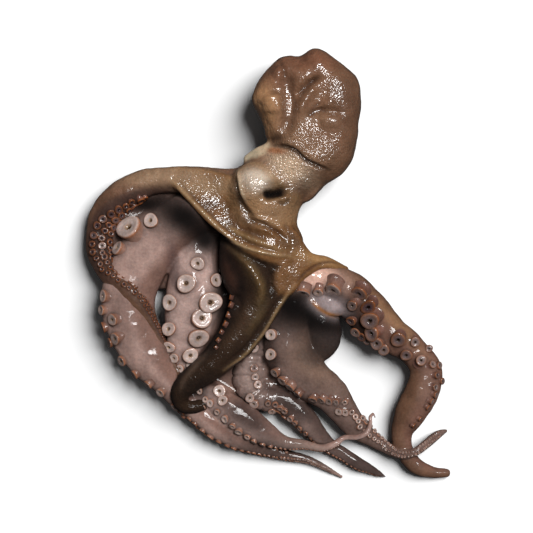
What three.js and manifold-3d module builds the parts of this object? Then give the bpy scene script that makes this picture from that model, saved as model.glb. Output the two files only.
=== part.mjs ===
// A whole raw octopus lying at rest on a flat surface: head, bag-shaped mantle, web and eight arms, all one solid.
// Millimetres, +Z up. The origin is on the surface, under the middle of the octopus. The mantle lies towards +Y and
// the arm tips towards -Y. Every arm is a swept elliptical limb whose oral side carries two rows of cup suckers.
import * as THREE from "three";
import { mergeVertices } from "three/addons/utils/BufferGeometryUtils.js";
import Module from "manifold-3d";

const wasm = await Module();
wasm.setup();

// ---------------------------------------------------------------- driving dimensions
const SETTLE = 1.5; // how far soft flesh flattens into the surface it lies on
const LIMB_SIDES = 8;
const RING_STEP = 5.5; // step between the rings of a limb, for a limb of no width ...
const RING_STEP_PER_WIDTH = 0.31; // ... and what each millimetre of width adds to it
const PILLOW_RINGS = 10;
const PILLOW_SIDES = 32;
const WEB_CELL = 28; // length of a cell of web along its edges
const WEB_CELLS_ACROSS = 2;
const SUCKER_SIDES = 6;
const SHIFT = new THREE.Vector3(1.3, -0.6, 0); // brings the origin under the middle of the whole

const UP = new THREE.Vector3(0, 0, 1);

// A station of a limb is [x, y, lift of its underside over the surface, width].
// A sucker is [x, y, diameter]: it stands on the limb's skin at that place, seen from above.
const ARMS = {
  leftCurl: {
    stations: [
      [-18, 77, 8, 44], [-46, 81, 12, 36], [-73, 86, 13, 30], [-100, 87, 12, 26],
      [-126, 83, 8, 29], [-147, 71, 4, 32], [-163, 53, 0, 33], [-169, 32, 0, 30],
      [-168, 12, 1, 28], [-159, -6, 8, 25], [-141, -22, 18, 22], [-128, -37, 20, 17],
      [-117, -55, 19, 12], [-107, -75, 17, 9], [-97, -94, 16, 7], [-85, -115, 18, 4],
    ],
    suckers: [],
  },
  leftOuter: {
    stations: [
      [-28, 52, 10, 44], [-63, 55, 8, 46], [-96, 39, 3, 54], [-120, 15, 0, 56],
      [-137, -13, 0, 55], [-141, -41, 0, 53], [-133, -68, 0, 51], [-119, -93, 0, 45],
      [-101, -115, 0, 34], [-78, -137, 0, 27], [-55, -157, 0, 27], [-32, -172, 0, 23],
      [-8, -182, 0, 16], [17, -190, 0, 11], [42, -196, 0, 8], [75, -213, 0, 4],
    ],
    suckers: [
      [-135, 38, 27], [-116, 46, 15], [-149, 17, 15], [-163, -30, 13], [-155, -52, 13],
      [-165, -61, 11], [-152, -68, 13], [-158, -76, 12], [-146, -95, 11],
    ],
  },
  leftInner: {
    stations: [
      [-23, 52, 6, 40], [-53, 47, 6, 34], [-70, 22, 4, 36], [-76, -3, 2, 46],
      [-76, -33, 0, 54], [-79, -58, 0, 50], [-81, -80, 0, 40], [-80, -100, 0, 28],
      [-70, -118, 2, 25], [-50, -135, 4, 30], [-26, -152, 5, 31], [-4, -167, 6, 24],
      [17, -177, 7, 14], [37, -179, 10, 9], [54, -182, 14, 7], [67, -178, 14, 7.5],
      [77, -172, 12, 6], [90, -171, 16, 6], [99, -166, 17, 6], [103, -157, 15, 4.5],
      [103, -151, 14, 4], [106, -148, 13, 3], [108, -152, 12, 2],
    ],
    suckers: [
      [-70, 4, 14], [-81, -15, 20], [-54, -13, 14], [-97, -36, 15], [-58, -35, 24],
      [-67, -52, 20], [-98, -61, 15], [-70, -69, 20], [-98, -78, 14], [-78, -85, 17],
      [-46, -126, 12], [-44, -134, 12],
    ],
  },
  flap: {
    stations: [
      [2, 62, 8, 46], [-8, 42, 10, 60], [-14, 18, 12, 74], [-15, -5, 13, 72], [-18, -28, 13, 59],
      [-28, -53, 13, 47], [-40, -79, 14, 39], [-60, -97, 18, 30], [-78, -115, 20, 22],
      [-88, -127, 15, 17], [-85, -136, 11, 15], [-74, -138, 10, 13], [-62, -133, 9, 13],
      [-52, -124, 8, 12], [-40, -117, 6, 9],
    ],
    suckers: [],
  },
  centre: {
    stations: [
      [12, 5, 4, 40], [0, -33, 2, 36], [-13, -68, 0, 34], [-20, -95, 0, 32],
      [-19, -118, 0, 34], [-6, -132, 0, 28], [14, -134, 0, 25], [32, -147, 0, 25],
      [47, -165, 0, 20], [60, -179, 0, 16], [74, -188, 0, 13.5], [90, -198, 0, 12.5],
      [104, -205, 0, 9], [115, -211, 0, 5], [122, -214, 0, 2],
    ],
    suckers: [[-13, -79, 11]],
  },
  rightInner: {
    stations: [
      [14, 5, 6, 44], [20, -31, 6, 46], [18, -63, 5, 46], [22, -88, 4, 48],
      [42, -112, 2, 44], [63, -129, 0, 36], [76, -145, 0, 30], [87, -160, 0, 25],
      [101, -171, 0, 18], [116, -181, 1, 13], [132, -189, 8, 10], [146, -187, 13, 9.5],
      [159, -179, 9, 9], [172, -170, 2, 8], [181, -166, 0, 4],
    ],
    suckers: [[3, -66, 12], [3, -87, 12], [6, -104, 12], [13, -114, 12], [22, -120, 11], [31, -127, 11]],
  },
  right: {
    stations: [
      [-3, 12, 10, 44], [24, -5, 10, 40], [50, -13, 8, 36], [77, -23, 5, 42],
      [100, -45, 0, 46], [124, -68, 0, 36], [145, -83, 0, 30], [159, -103, 0, 32],
      [156, -125, 0, 34], [144, -147, 0, 32], [136, -166, 0, 22], [138, -185, 0, 19],
      [149, -201, 0, 17], [166, -208, 0, 12], [181, -209, 0, 9],
    ],
    suckers: [
      [32, -23, 14], [49, -22, 15], [66, -20, 17], [61, -36, 20], [92, -23, 14],
      [101, -37, 15], [82, -36, 11], [102, -53, 17], [103, -67, 15], [108, -76, 13],
      [129, -73, 16], [148, -74, 11], [138, -89, 12], [152, -96, 12],
    ],
  },
  tucked: {
    stations: [
      [17, 2, 2, 42], [34, -26, 0, 44], [50, -52, 0, 42], [54, -72, 0, 38], [44, -86, 0, 28], [28, -90, 0, 16],
    ],
    suckers: [],
  },
};

// The bag of the mantle, seen from above, and the lobes of its folded side.
const MANTLE_OUTLINE = [
  [48, 217], [34, 210], [16, 211], [4, 202], [-6, 188], [-17, 171], [-15, 156], [-7, 140], [1, 124],
  [22, 108], [44, 92], [68, 88], [83, 103], [90, 122], [92, 147], [93, 170], [90, 188], [77, 201], [62, 210],
];
const MANTLE_CENTRE = [40, 148];
const MANTLE_HEIGHT = 50;
// Folds pressed into the bag's upper side: the line of the fold seen from above, its depth and its half width.
const MANTLE_FOLDS = [
  { line: [[23, 190], [20, 170], [22, 148], [18, 130]], depth: 15, halfWidth: 9 },
  { line: [[53, 188], [38, 174], [30, 160]], depth: 10, halfWidth: 7 },
  { line: [[74, 150], [54, 155], [40, 149], [30, 156]], depth: 9, halfWidth: 7 },
];
const NECK = [[-6, 66, 2, 62], [5, 82, 1, 70], [25, 97, 1, 70], [44, 113, 1, 66]];

// Ellipsoids: [x, y, z, half-length along X, along Y, along Z, turn about Z in degrees].
const HEAD = [-4, 62, 25, 36, 40, 27, -20];
const EYE_BULGE = [-15, 80, 38, 25, 24, 19, 0];
const EYELID = [11, 66, 38, 20, 9, 12, 10];
const CROWN = [-4, 24, 24, 40, 34, 25, -10];

// Each web is ruled between two edges, on the head or on an arm or free: [x, y, z of the top surface].
const WEBS = {
  leftCollar: {
    from: [[-98, 97, 33], [-60, 93, 36], [-28, 82, 40], [-4, 56, 46], [24, 30, 42]],
    to: [[-98, 88, 37], [-77, 66, 43], [-57, 45, 46], [-35, 29, 47], [-4, 17, 46]],
    thickness: 7,
  },
  rightCollar: {
    from: [[-20, 30, 47], [4, 36, 47], [24, 36, 44], [38, 18, 38], [70, 4, 33]],
    to: [[-18, 0, 44], [2, -12, 43], [20, -24, 40], [38, -8, 38], [70, 0, 34]],
    thickness: 7,
  },
  leftCurlToLeftOuter: {
    from: [[-50, 52, 26], [-80, 50, 22], [-104, 36, 20], [-138, -6, 18]],
    to: [[-46, 80, 26], [-92, 86, 22], [-132, 80, 20], [-166, 26, 16]],
    thickness: 11,
  },
  leftOuterToLeftInner: {
    from: [[-50, 40, 24], [-74, 16, 20], [-90, -22, 14]],
    to: [[-62, 48, 24], [-96, 36, 20], [-126, -20, 14]],
    thickness: 12,
  },
  leftInnerToCentre: {
    from: [[-6, 30, 18], [0, -20, 18], [-10, -60, 16], [-20, -126, 12]],
    to: [[-53, 40, 18], [-68, 8, 18], [-68, -40, 18], [-74, -96, 14], [-52, -130, 12]],
    thickness: 12,
  },
  centreToRightInner: {
    from: [[20, -31, 18], [18, -63, 16], [40, -120, 12]],
    to: [[0, -33, 18], [-13, -68, 16], [4, -134, 12]],
    thickness: 12,
  },
  rightInnerToTucked: {
    from: [[60, -14, 20], [66, -44, 18], [50, -80, 16]],
    to: [[14, 5, 20], [24, -45, 18], [26, -84, 16]],
    thickness: 12,
  },
};

// ---------------------------------------------------------------- solids from meshes
/** A closed BufferGeometry as a manifold-3d solid. */
function solid(geometry) {
  const bare = geometry.index ? geometry.toNonIndexed() : geometry.clone();
  bare.deleteAttribute("normal");
  bare.deleteAttribute("uv");
  const merged = mergeVertices(bare, 1e-4);
  const made = new wasm.Manifold(
    new wasm.Mesh({
      numProp: 3,
      vertProperties: merged.attributes.position.array,
      triVerts: new Uint32Array(merged.index.array),
    }),
  );
  if (made.volume() < 0) throw new Error("a shape is inside out");
  return made;
}

/** The surface between rings of equal point counts, each closed, with an apex point at both ends. */
function lofted(rings, firstApex, lastApex) {
  const sides = rings[0].length;
  const points = [firstApex, ...rings.flat(), lastApex];
  const last = points.length - 1;
  const at = (ring, side) => 1 + ring * sides + (side % sides);
  const faces = [];
  for (let side = 0; side < sides; side++) {
    faces.push(0, at(0, side + 1), at(0, side));
    faces.push(last, at(rings.length - 1, side), at(rings.length - 1, side + 1));
    for (let ring = 0; ring + 1 < rings.length; ring++) {
      faces.push(at(ring, side), at(ring, side + 1), at(ring + 1, side + 1));
      faces.push(at(ring, side), at(ring + 1, side + 1), at(ring + 1, side));
    }
  }
  return new THREE.BufferGeometry().setFromPoints(points).setIndex(faces);
}

// ---------------------------------------------------------------- limbs
/** A limb's section gets flatter under its own weight as it gets wider. */
const sectionHeight = (width) => width * (0.95 - 0.006 * width);

/** The route of a limb: its centre line and its widths, both read with the same parameter from 0 to 1. */
function route(stations) {
  const centres = stations.map(([x, y, lift, width]) =>
    new THREE.Vector3(x, y, lift + sectionHeight(width) / 2 - SETTLE));
  const line = new THREE.CatmullRomCurve3(centres, false, "centripetal");
  const widthAt = (t) => {
    const place = t * (stations.length - 1);
    const i = Math.min(Math.floor(place), stations.length - 2);
    return THREE.MathUtils.lerp(stations[i][3], stations[i + 1][3], place - i);
  };
  return { line, widthAt, stations };
}

/** The frame of a limb at t: centre, side direction, up direction, half width and half height. */
function sectionAt(limb, t) {
  const along = limb.line.getTangent(t);
  const side = new THREE.Vector3().crossVectors(UP, along).normalize();
  const up = new THREE.Vector3().crossVectors(along, side);
  const width = limb.widthAt(t);
  return { centre: limb.line.getPoint(t), along, side, up, halfWidth: width / 2, halfHeight: sectionHeight(width) / 2 };
}

/** The sections of a limb, closer together where it is thin. */
function sectionsOf(limb) {
  const length = limb.line.getLength();
  const sections = [];
  let run = 0;
  while (run < length) {
    const t = limb.line.getUtoTmapping(run / length);
    sections.push(sectionAt(limb, t));
    run += RING_STEP + RING_STEP_PER_WIDTH * limb.widthAt(t);
  }
  sections.push(sectionAt(limb, 1));
  return sections;
}

/** A limb swept along its route, with rounded ends. */
function limbSolid(stations) {
  const rings = sectionsOf(route(stations));
  const circle = rings.map(({ centre, side, up, halfWidth, halfHeight }) =>
    Array.from({ length: LIMB_SIDES }, (_, k) => {
      const turn = (2 * Math.PI * k) / LIMB_SIDES;
      return centre.clone()
        .addScaledVector(side, halfWidth * Math.cos(turn))
        .addScaledVector(up, halfHeight * Math.sin(turn));
    }));
  const [first, last] = [rings[0], rings.at(-1)];
  return solid(lofted(
    circle,
    first.centre.clone().addScaledVector(first.along, -first.halfHeight / 2),
    last.centre.clone().addScaledVector(last.along, last.halfHeight / 2),
  ));
}

// ---------------------------------------------------------------- suckers
/** One cup sucker, mouth towards +Y of its own frame, its foot sunk below the origin. */
function suckerGeometry(diameter) {
  const profile = [[0, -0.3], [0.42, -0.05], [0.5, 0.2], [0.3, 0.22], [0, 0.06]];
  return new THREE.LatheGeometry(
    profile.map(([radius, height]) => new THREE.Vector2(radius * diameter, height * diameter)),
    SUCKER_SIDES,
  );
}

/** A sucker on a limb's skin at the given place, seen from above, with its mouth along the skin's normal. */
function suckerSolid(limb, [x, y, diameter]) {
  const place = new THREE.Vector2(x, y);
  const samples = Array.from({ length: 400 }, (_, i) => i / 399);
  const distance = (t) => {
    const point = limb.line.getPoint(t);
    return place.distanceTo(new THREE.Vector2(point.x, point.y));
  };
  const t = samples.reduce((best, s) => (distance(s) < distance(best) ? s : best));
  const { centre, side, up, halfWidth, halfHeight } = sectionAt(limb, t);
  const offset = (x - centre.x) * side.x + (y - centre.y) * side.y;
  const turn = Math.acos(THREE.MathUtils.clamp(offset / halfWidth, -0.97, 0.97));
  const skin = centre.clone()
    .addScaledVector(side, halfWidth * Math.cos(turn))
    .addScaledVector(up, halfHeight * Math.sin(turn));
  const normal = side.clone().multiplyScalar(Math.cos(turn) / halfWidth)
    .addScaledVector(up, Math.sin(turn) / halfHeight)
    .normalize();
  const geometry = suckerGeometry(diameter);
  geometry.applyQuaternion(new THREE.Quaternion().setFromUnitVectors(new THREE.Vector3(0, 1, 0), normal));
  geometry.translate(skin.x, skin.y, skin.z);
  return solid(geometry);
}

// ---------------------------------------------------------------- head, mantle and web
/** How deep the folds press in at a place seen from above. */
function foldDepth(folds, place) {
  const depths = folds.map(({ line, depth, halfWidth }) => {
    const near = line.slice(1).map((end, i) => {
      const start = new THREE.Vector3(...line[i], 0);
      const closest = new THREE.Line3(start, new THREE.Vector3(...end, 0)).closestPointToPoint(place, true, new THREE.Vector3());
      return closest.distanceTo(place);
    });
    return depth * Math.exp(-((Math.min(...near) / halfWidth) ** 2));
  });
  return Math.max(...depths);
}

/** A rounded bag: the outline drawn in towards a centre over a circular arc from floor to top, with folds on top. */
function pillowSolid(outline, [centreX, centreY], height, folds) {
  const curve = new THREE.CatmullRomCurve3(outline.map(([x, y]) => new THREE.Vector3(x, y, 0)), true, "centripetal");
  const edge = Array.from({ length: PILLOW_SIDES }, (_, k) => curve.getPoint(k / PILLOW_SIDES));
  const middle = new THREE.Vector3(centreX, centreY, height / 2 - SETTLE);
  const rings = Array.from({ length: PILLOW_RINGS }, (_, k) => {
    const rise = Math.PI * ((k + 0.6) / (PILLOW_RINGS + 0.2) - 0.5);
    return edge.map(({ x, y }) => {
      const reach = Math.cos(rise) ** 0.8;
      const place = new THREE.Vector3(THREE.MathUtils.lerp(centreX, x, reach), THREE.MathUtils.lerp(centreY, y, reach), 0);
      const pressed = Math.max(Math.sin(rise), 0) * foldDepth(folds, place);
      return place.setZ(middle.z + (height / 2) * Math.sin(rise) - pressed);
    });
  });
  const pole = (way) => middle.clone().addScaledVector(UP, (way * height) / 2);
  return solid(lofted(rings, pole(-1), pole(1)));
}

/** An ellipsoid at a place, turned about Z. */
function ellipsoidSolid([x, y, z, halfX, halfY, halfZ, turn]) {
  const geometry = new THREE.SphereGeometry(1, 14, 9);
  geometry.rotateX(Math.PI / 2);
  geometry.scale(halfX, halfY, halfZ);
  geometry.rotateZ(THREE.MathUtils.degToRad(turn));
  geometry.translate(x, y, z);
  return solid(geometry);
}

/** A web of skin ruled between two curves, with a crowned top and the given thickness. */
function webSolid({ from, to, thickness }) {
  const [first, second] = [from, to].map((points) =>
    new THREE.CatmullRomCurve3(points.map((p) => new THREE.Vector3(...p)), false, "centripetal"));
  const cellsAlong = Math.ceil(first.getLength() / WEB_CELL);
  const rings = [];
  for (let i = 0; i <= cellsAlong; i++) {
    const [a, b] = [first.getPoint(i / cellsAlong), second.getPoint(i / cellsAlong)];
    const top = Array.from({ length: WEB_CELLS_ACROSS + 1 }, (_, k) => a.clone().lerp(b, k / WEB_CELLS_ACROSS));
    const under = top.map((point) => point.clone().addScaledVector(UP, -thickness)).reverse();
    rings.push([...top, ...under]);
  }
  const middle = (ring) => ring.reduce((sum, p) => sum.add(p), new THREE.Vector3()).divideScalar(ring.length);
  return solid(lofted(rings, middle(rings[0]), middle(rings.at(-1))));
}

// ---------------------------------------------------------------- the octopus
/** All that lies under the surface is cut off, which leaves the flats that the octopus rests on. */
function floorSolid() {
  const slab = new THREE.BoxGeometry(800, 800, 100);
  slab.translate(0, 0, -50);
  return solid(slab);
}

const pieces = [
  pillowSolid(MANTLE_OUTLINE, MANTLE_CENTRE, MANTLE_HEIGHT, MANTLE_FOLDS),
  limbSolid(NECK),
  ...[HEAD, EYE_BULGE, EYELID, CROWN].map(ellipsoidSolid),
  ...Object.values(WEBS).map(webSolid),
  ...Object.values(ARMS).flatMap(({ stations, suckers }) => [
    limbSolid(stations),
    ...suckers.map((sucker) => suckerSolid(route(stations), sucker)),
  ]),
];
const whole = pieces.reduce((sum, piece) => sum.add(piece)).subtract(floorSolid());

/** The finished solid as a named mesh. */
function meshOf(name, manifold, material) {
  const { vertProperties, triVerts } = manifold.getMesh();
  const geometry = new THREE.BufferGeometry();
  geometry.setAttribute("position", new THREE.BufferAttribute(new Float32Array(vertProperties), 3));
  geometry.setIndex(new THREE.BufferAttribute(new Uint32Array(triVerts), 1));
  geometry.computeVertexNormals();
  const mesh = new THREE.Mesh(geometry, material);
  mesh.name = name;
  mesh.position.copy(SHIFT);
  return mesh;
}

const skin = new THREE.MeshStandardMaterial({ color: 0x80614e, roughness: 0.3, metalness: 0 });
const octopus = new THREE.Group();
octopus.add(meshOf("octopus", whole, skin));

export default octopus;
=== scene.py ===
"""A whole raw octopus lying at rest: folded mantle, head, web and eight suckered arms, wet from the sea.

Sizes are in millimetres in the shared frame (origin on the surface under the middle, +Y towards the mantle,
+Z up) and turn to metres where a mesh is made. Soft flesh is melted together on a grid of small cells, so
that skin runs on from head to web to arm; suckers are modelled once for each size and copied onto the arms.
"""

from __future__ import annotations

import logging
import math
from dataclasses import dataclass, field, replace
from enum import Enum
from typing import Sequence

import bpy
import numpy as np
import openvdb
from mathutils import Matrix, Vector
from mathutils.bvhtree import BVHTree

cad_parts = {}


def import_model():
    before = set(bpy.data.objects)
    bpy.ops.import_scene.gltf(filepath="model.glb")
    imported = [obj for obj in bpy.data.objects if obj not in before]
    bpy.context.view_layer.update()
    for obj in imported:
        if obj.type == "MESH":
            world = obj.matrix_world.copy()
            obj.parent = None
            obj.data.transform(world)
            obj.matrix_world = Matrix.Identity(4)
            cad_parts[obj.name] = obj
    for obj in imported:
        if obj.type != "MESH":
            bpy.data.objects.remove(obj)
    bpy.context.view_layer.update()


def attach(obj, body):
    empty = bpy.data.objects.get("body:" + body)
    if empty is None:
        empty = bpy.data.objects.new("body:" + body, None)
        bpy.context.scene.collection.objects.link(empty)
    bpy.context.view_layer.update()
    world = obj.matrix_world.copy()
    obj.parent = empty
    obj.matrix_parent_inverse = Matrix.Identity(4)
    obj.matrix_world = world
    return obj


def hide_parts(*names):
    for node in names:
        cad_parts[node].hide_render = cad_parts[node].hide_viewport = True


LOG = logging.getLogger("octopus")
MM = 0.001
MIDDLE = np.array([1.3, -0.6, 0.0])  # from the head's own datum to the frame's origin
SETTLE = 1.5  # how far soft flesh flattens into the surface it lies on
FAR = 40.0  # value of a cell that no flesh comes near
NEAR, BAG_NEAR = 7.0, 12.0  # how far round flesh the cells are worked out, for arms and webs and for a bag
RESTING = 0.6  # skin lower than this lies on the surface and stays as it is
WEB_STEP = 2.2  # spacing of the beads that a web is made of
CELL, QUICK_CELL = 1.22, 1.7
Numbers = Sequence[float]
Socket = bpy.types.NodeSocket


# ---- colour
def linear(code: str) -> tuple[float, float, float]:
    """Turns an sRGB hex value into linear red, green and blue."""
    parts = [int(code[i : i + 2], 16) / 255 for i in (1, 3, 5)]
    return tuple(p / 12.92 if p <= 0.04045 else ((p + 0.055) / 1.055) ** 2.4 for p in parts)


@dataclass(frozen=True)
class Coat:
    """The two colours of a stretch of skin.

    Attributes:
        back: Colour of the outer skin.
        oral: Colour of the side that carries the suckers.
        pebble: How strongly the outer skin stands up in grains, 0 to 1.
    """

    back: str
    oral: str = ""
    pebble: float = 0.5


# ---- limbs
@dataclass(frozen=True)
class Limb:
    """One arm, or another long round stretch of flesh.

    Attributes:
        name: Name of the limb.
        stations: x, y, lift of the underside, width and turn of the oral side from upright, in mm and degrees.
        coat: Colours of its skin.
        melt: Radius over which it runs into the flesh it touches.
        cups: Suckers set one by one: x, y, diameter and, where they differ, lean and tone.
        rows: Bands of suckers: start and end as shares of the length, diameter as a share of width, number of
            rows, and angle between them.
        tone: How brown its suckers are, 0 pale lilac to 1 orange brown.
        lean: How far their mouths turn from the skin's own direction to the arm's oral direction.
        pleats: Cross folds: start, end as shares of the length, pitch and depth.
    """

    name: str
    stations: tuple[Numbers, ...]
    coat: Coat
    melt: float = 2.0
    cups: tuple[Numbers, ...] = ()
    rows: tuple[Numbers, ...] = ()
    tone: float = 0.5
    lean: float = 0.3
    pleats: Numbers = ()


def section_height(width: np.ndarray) -> np.ndarray:
    """Height of a limb's section, which gets flatter under its own weight as it gets wider."""
    return width * (0.95 - 0.006 * width)


def unit(vectors: np.ndarray) -> np.ndarray:
    """The vectors, each at length 1."""
    return vectors / np.maximum(np.linalg.norm(vectors, axis=-1, keepdims=True), 1e-9)


def lengths(line: np.ndarray) -> np.ndarray:
    """Length of a line up to each of its places."""
    return np.concatenate([[0], np.cumsum(np.linalg.norm(np.diff(line, axis=0), axis=1))])


def rows_at(wanted: np.ndarray, run: np.ndarray, table: np.ndarray) -> np.ndarray:
    """Rows of a table at wanted lengths, where its own rows stand at the lengths of a run."""
    return np.column_stack([np.interp(wanted, run, column) for column in table.T])


def turned(x: np.ndarray, y: np.ndarray, degrees: float) -> tuple[np.ndarray, np.ndarray]:
    """Offsets along X and Y, seen along axes turned to the left by so many degrees."""
    c, s = math.cos(math.radians(degrees)), math.sin(math.radians(degrees))
    return x * c + y * s, y * c - x * s


def through(points: np.ndarray, count: int = 24) -> np.ndarray:
    """Runs a smooth centripetal curve through points.

    Args:
        points: Places, with any further columns carried along.
        count: Steps between neighbouring places.

    Returns:
        The places on the curve.
    """
    points = np.asarray(points, float)
    ends = np.vstack([2 * points[0] - points[1], points, 2 * points[-1] - points[-2]])
    rows = []
    for i in range(1, len(ends) - 2):
        p = ends[i - 1 : i + 3]
        gaps = np.sqrt(np.maximum(np.linalg.norm(np.diff(p[:, :3], axis=0), axis=1), 1e-6))
        knots = np.concatenate([[0], np.cumsum(gaps)])
        t = np.linspace(knots[1], knots[2], count, endpoint=i == len(ends) - 3)[:, None]
        level = [p[k] + (p[k + 1] - p[k]) * (t - knots[k]) / gaps[k] for k in range(3)]
        for spans in (((0, 2), (1, 3)), ((1, 2),)):
            level = [
                (level[k] * (knots[b] - t) + level[k + 1] * (t - knots[a])) / (knots[b] - knots[a])
                for k, (a, b) in enumerate(spans)
            ]
        rows.append(level[0])
    return np.vstack(rows)


def ring_through(points: np.ndarray, count: int = 12) -> np.ndarray:
    """Runs a smooth closed curve through points; the last place meets the first."""
    points = np.asarray(points, float)
    fine = through(np.vstack([points[-2:], points, points[:3]]), count)
    return fine[2 * count : (2 + len(points)) * count]


class Route:
    """The run of a limb as closely spaced sections.

    Args:
        limb: The limb that runs here.
    """

    def __init__(self, limb: Limb) -> None:
        table = np.array([[*s, 0.0][:5] for s in limb.stations], float)
        height = section_height(table[:, 3])
        table[:, 2] += height / 2 - SETTLE
        fine = through(table)
        run = lengths(fine[:, :3])
        places = [0.0]
        while places[-1] < run[-1]:
            width = np.interp(places[-1], run, fine[:, 3])
            places.append(places[-1] + min(max(0.07 * width, 0.6), 2.0))
        self.run = np.array(places[:-1] + [run[-1]])
        fine = rows_at(self.run, run, fine)
        self.length = run[-1]
        self.centre = fine[:, :3] + MIDDLE
        self.half_width = np.maximum(fine[:, 3], 0.8) / 2
        self.half_height = section_height(self.half_width * 2) / 2
        self.along = unit(np.gradient(self.centre, axis=0))
        self.side = unit(np.cross([0.0, 0.0, 1.0], self.along))
        self.up = np.cross(self.along, self.side)
        turn = np.radians(fine[:, 4])[:, None]
        self.oral = np.cos(turn) * self.up + np.sin(turn) * self.side

    def near(self, x: float, y: float) -> int:
        """Index of the section nearest to a place seen from above."""
        return int(np.argmin(np.hypot(self.centre[:, 0] - x, self.centre[:, 1] - y)))


# ---- flesh melted together
@dataclass
class Section:
    """What the cells next to one bit of flesh know of it.

    Attributes:
        centre: Its middle.
        radius: Its smallest half size.
        oral: The direction its suckers face, or zeros.
        coat: Number of its coat.
        run: Length along its limb.
        limb: Number of its limb, or -1.
    """

    centre: np.ndarray
    radius: float
    oral: np.ndarray
    coat: int
    run: float = -1.0
    limb: int = -1


class Flesh:
    """Soft shapes melted into one skin on a grid of cells.

    Args:
        low: Lowest corner of the grid.
        high: Highest corner of the grid.
        cell: Side of a cell.
    """

    def __init__(self, low: Numbers, high: Numbers, cell: float) -> None:
        self.low = np.floor(np.array(low, float) / (2 * cell)) * 2 * cell
        self.cell = cell
        self.shape = np.ceil((np.array(high) - self.low) / cell).astype(int) + 1
        self.axes = [self.low[i] + cell * np.arange(self.shape[i]) for i in range(3)]
        self.value = np.full(self.shape, FAR, np.float32)
        self.owner = np.full(self.shape, -1, np.int32)
        self.sections: list[Section] = []
        self.coats: list[Coat] = []

    def window(self, low: np.ndarray, high: np.ndarray) -> tuple[slice, ...]:
        """The slices of the grid between two corners."""
        first = np.clip(np.floor((low - self.low) / self.cell).astype(int), 0, self.shape - 1)
        last = np.clip(np.ceil((high - self.low) / self.cell).astype(int) + 1, first + 1, self.shape)
        return tuple(slice(a, b) for a, b in zip(first, last))

    def offsets(self, window: tuple[slice, ...], centre: np.ndarray) -> list[np.ndarray]:
        """Offsets of the cells of a window from a place, along X, Y and Z."""
        shapes = ((-1, 1, 1), (1, -1, 1), (1, 1, -1))
        return [(self.axes[i][window[i]] - centre[i]).reshape(shapes[i]).astype(np.float32) for i in range(3)]

    def beads(
        self, centres: np.ndarray, frames: np.ndarray, radii: np.ndarray, melt: float, sections: list[Section]
    ) -> None:
        """Melts in a chain of overlapping ellipsoids.

        Args:
            centres: Their middles.
            frames: For each, its three axes as rows.
            radii: For each, its half lengths along those axes.
            melt: Radius over which the chain runs into the flesh already there.
            sections: What the cells know of each.
        """
        base = len(self.sections)
        self.sections += sections
        pad = NEAR + melt
        reach = radii.max(axis=1)[:, None]
        whole = self.window((centres - reach).min(axis=0) - pad, (centres + reach).max(axis=0) + pad)
        start = np.array([s.start for s in whole])
        layer = np.full([s.stop - s.start for s in whole], FAR, np.float32)
        who = np.full(layer.shape, -1, np.int32)
        for k, (centre, frame, radius) in enumerate(zip(centres, frames, radii)):
            spread = np.sqrt(((frame * radius[:, None]) ** 2).sum(axis=0)) + pad
            window = self.window(centre - spread, centre + spread)
            x, y, z = self.offsets(window, centre)
            near, slope = 0.0, 0.0
            for axis, length in zip(frame.astype(np.float32), radius):
                part = x * axis[0] + y * axis[1] + z * axis[2]
                near = near + (part / length) ** 2
                slope = slope + (part / length**2) ** 2
            near = np.sqrt(near)
            distance = near * (near - 1) / np.maximum(np.sqrt(slope), 1e-6)
            inner = tuple(slice(w.start - s, w.stop - s) for w, s in zip(window, start))
            closer = distance < layer[inner]
            layer[inner] = np.where(closer, distance, layer[inner])
            who[inner] = np.where(closer, base + k, who[inner])
        self.melt_in(whole, layer, who, melt)

    def melt_in(self, window: tuple[slice, ...], layer: np.ndarray, who: np.ndarray, melt: float) -> None:
        """Joins a layer to the flesh already in a window, with a fillet of about the melt radius."""
        there = self.value[window]
        share = np.clip(0.5 + 0.5 * (there - layer) / melt, 0, 1)
        joined = there * (1 - share) + layer * share - melt * share * (1 - share)
        self.owner[window] = np.where(layer < there, who, self.owner[window])
        self.value[window] = joined

    def known(self, what: str, owner: np.ndarray) -> np.ndarray:
        """What the section next to each point knows: the value of one of its fields."""
        return np.array([getattr(section, what) for section in self.sections])[owner]

    def coat(self, coat: Coat) -> int:
        """Number of a coat, added if it is new."""
        if coat not in self.coats:
            self.coats.append(coat)
        return self.coats.index(coat)

    def add_limb(self, limb: Limb, number: int) -> Route:
        """Melts in a limb.

        Args:
            limb: The limb.
            number: Its number among the limbs of this flesh.

        Returns:
            Its route.
        """
        route = Route(limb)
        frames = np.stack([route.along, route.side, route.up], axis=1)
        short = np.minimum(route.half_width, route.half_height)
        radii = np.column_stack([short, route.half_width, route.half_height])
        coat = self.coat(limb.coat)
        rows = zip(route.centre, short, route.oral, route.run)
        sections = [Section(centre, radius, oral, coat, run, number) for centre, radius, oral, run in rows]
        self.beads(route.centre, frames, radii, limb.melt, sections)
        return route

    def add_ball(self, centre: Numbers, half: Numbers, turn: float, coat: Coat, melt: float) -> None:
        """Melts in one ellipsoid, turned about Z by so many degrees."""
        frame = np.eye(3)
        frame[:2, 0], frame[:2, 1] = turned(1, 0, turn), turned(0, 1, turn)
        middle = np.array(centre, float) + MIDDLE
        section = Section(middle, min(half), np.zeros(3), self.coat(coat))
        self.beads(middle[None], frame[None], np.array([half], float), melt, [section])

    def spaced(self, lines: Sequence[np.ndarray]) -> list[np.ndarray]:
        """Lines with equally many and evenly spaced places, enough of them for the beads of a web to touch."""
        runs = [lengths(line) for line in lines]
        shares = np.linspace(0, 1, int(max(run[-1] for run in runs) / WEB_STEP) + 2)
        return [rows_at(shares * run[-1], run, line) for run, line in zip(runs, lines)]

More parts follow.
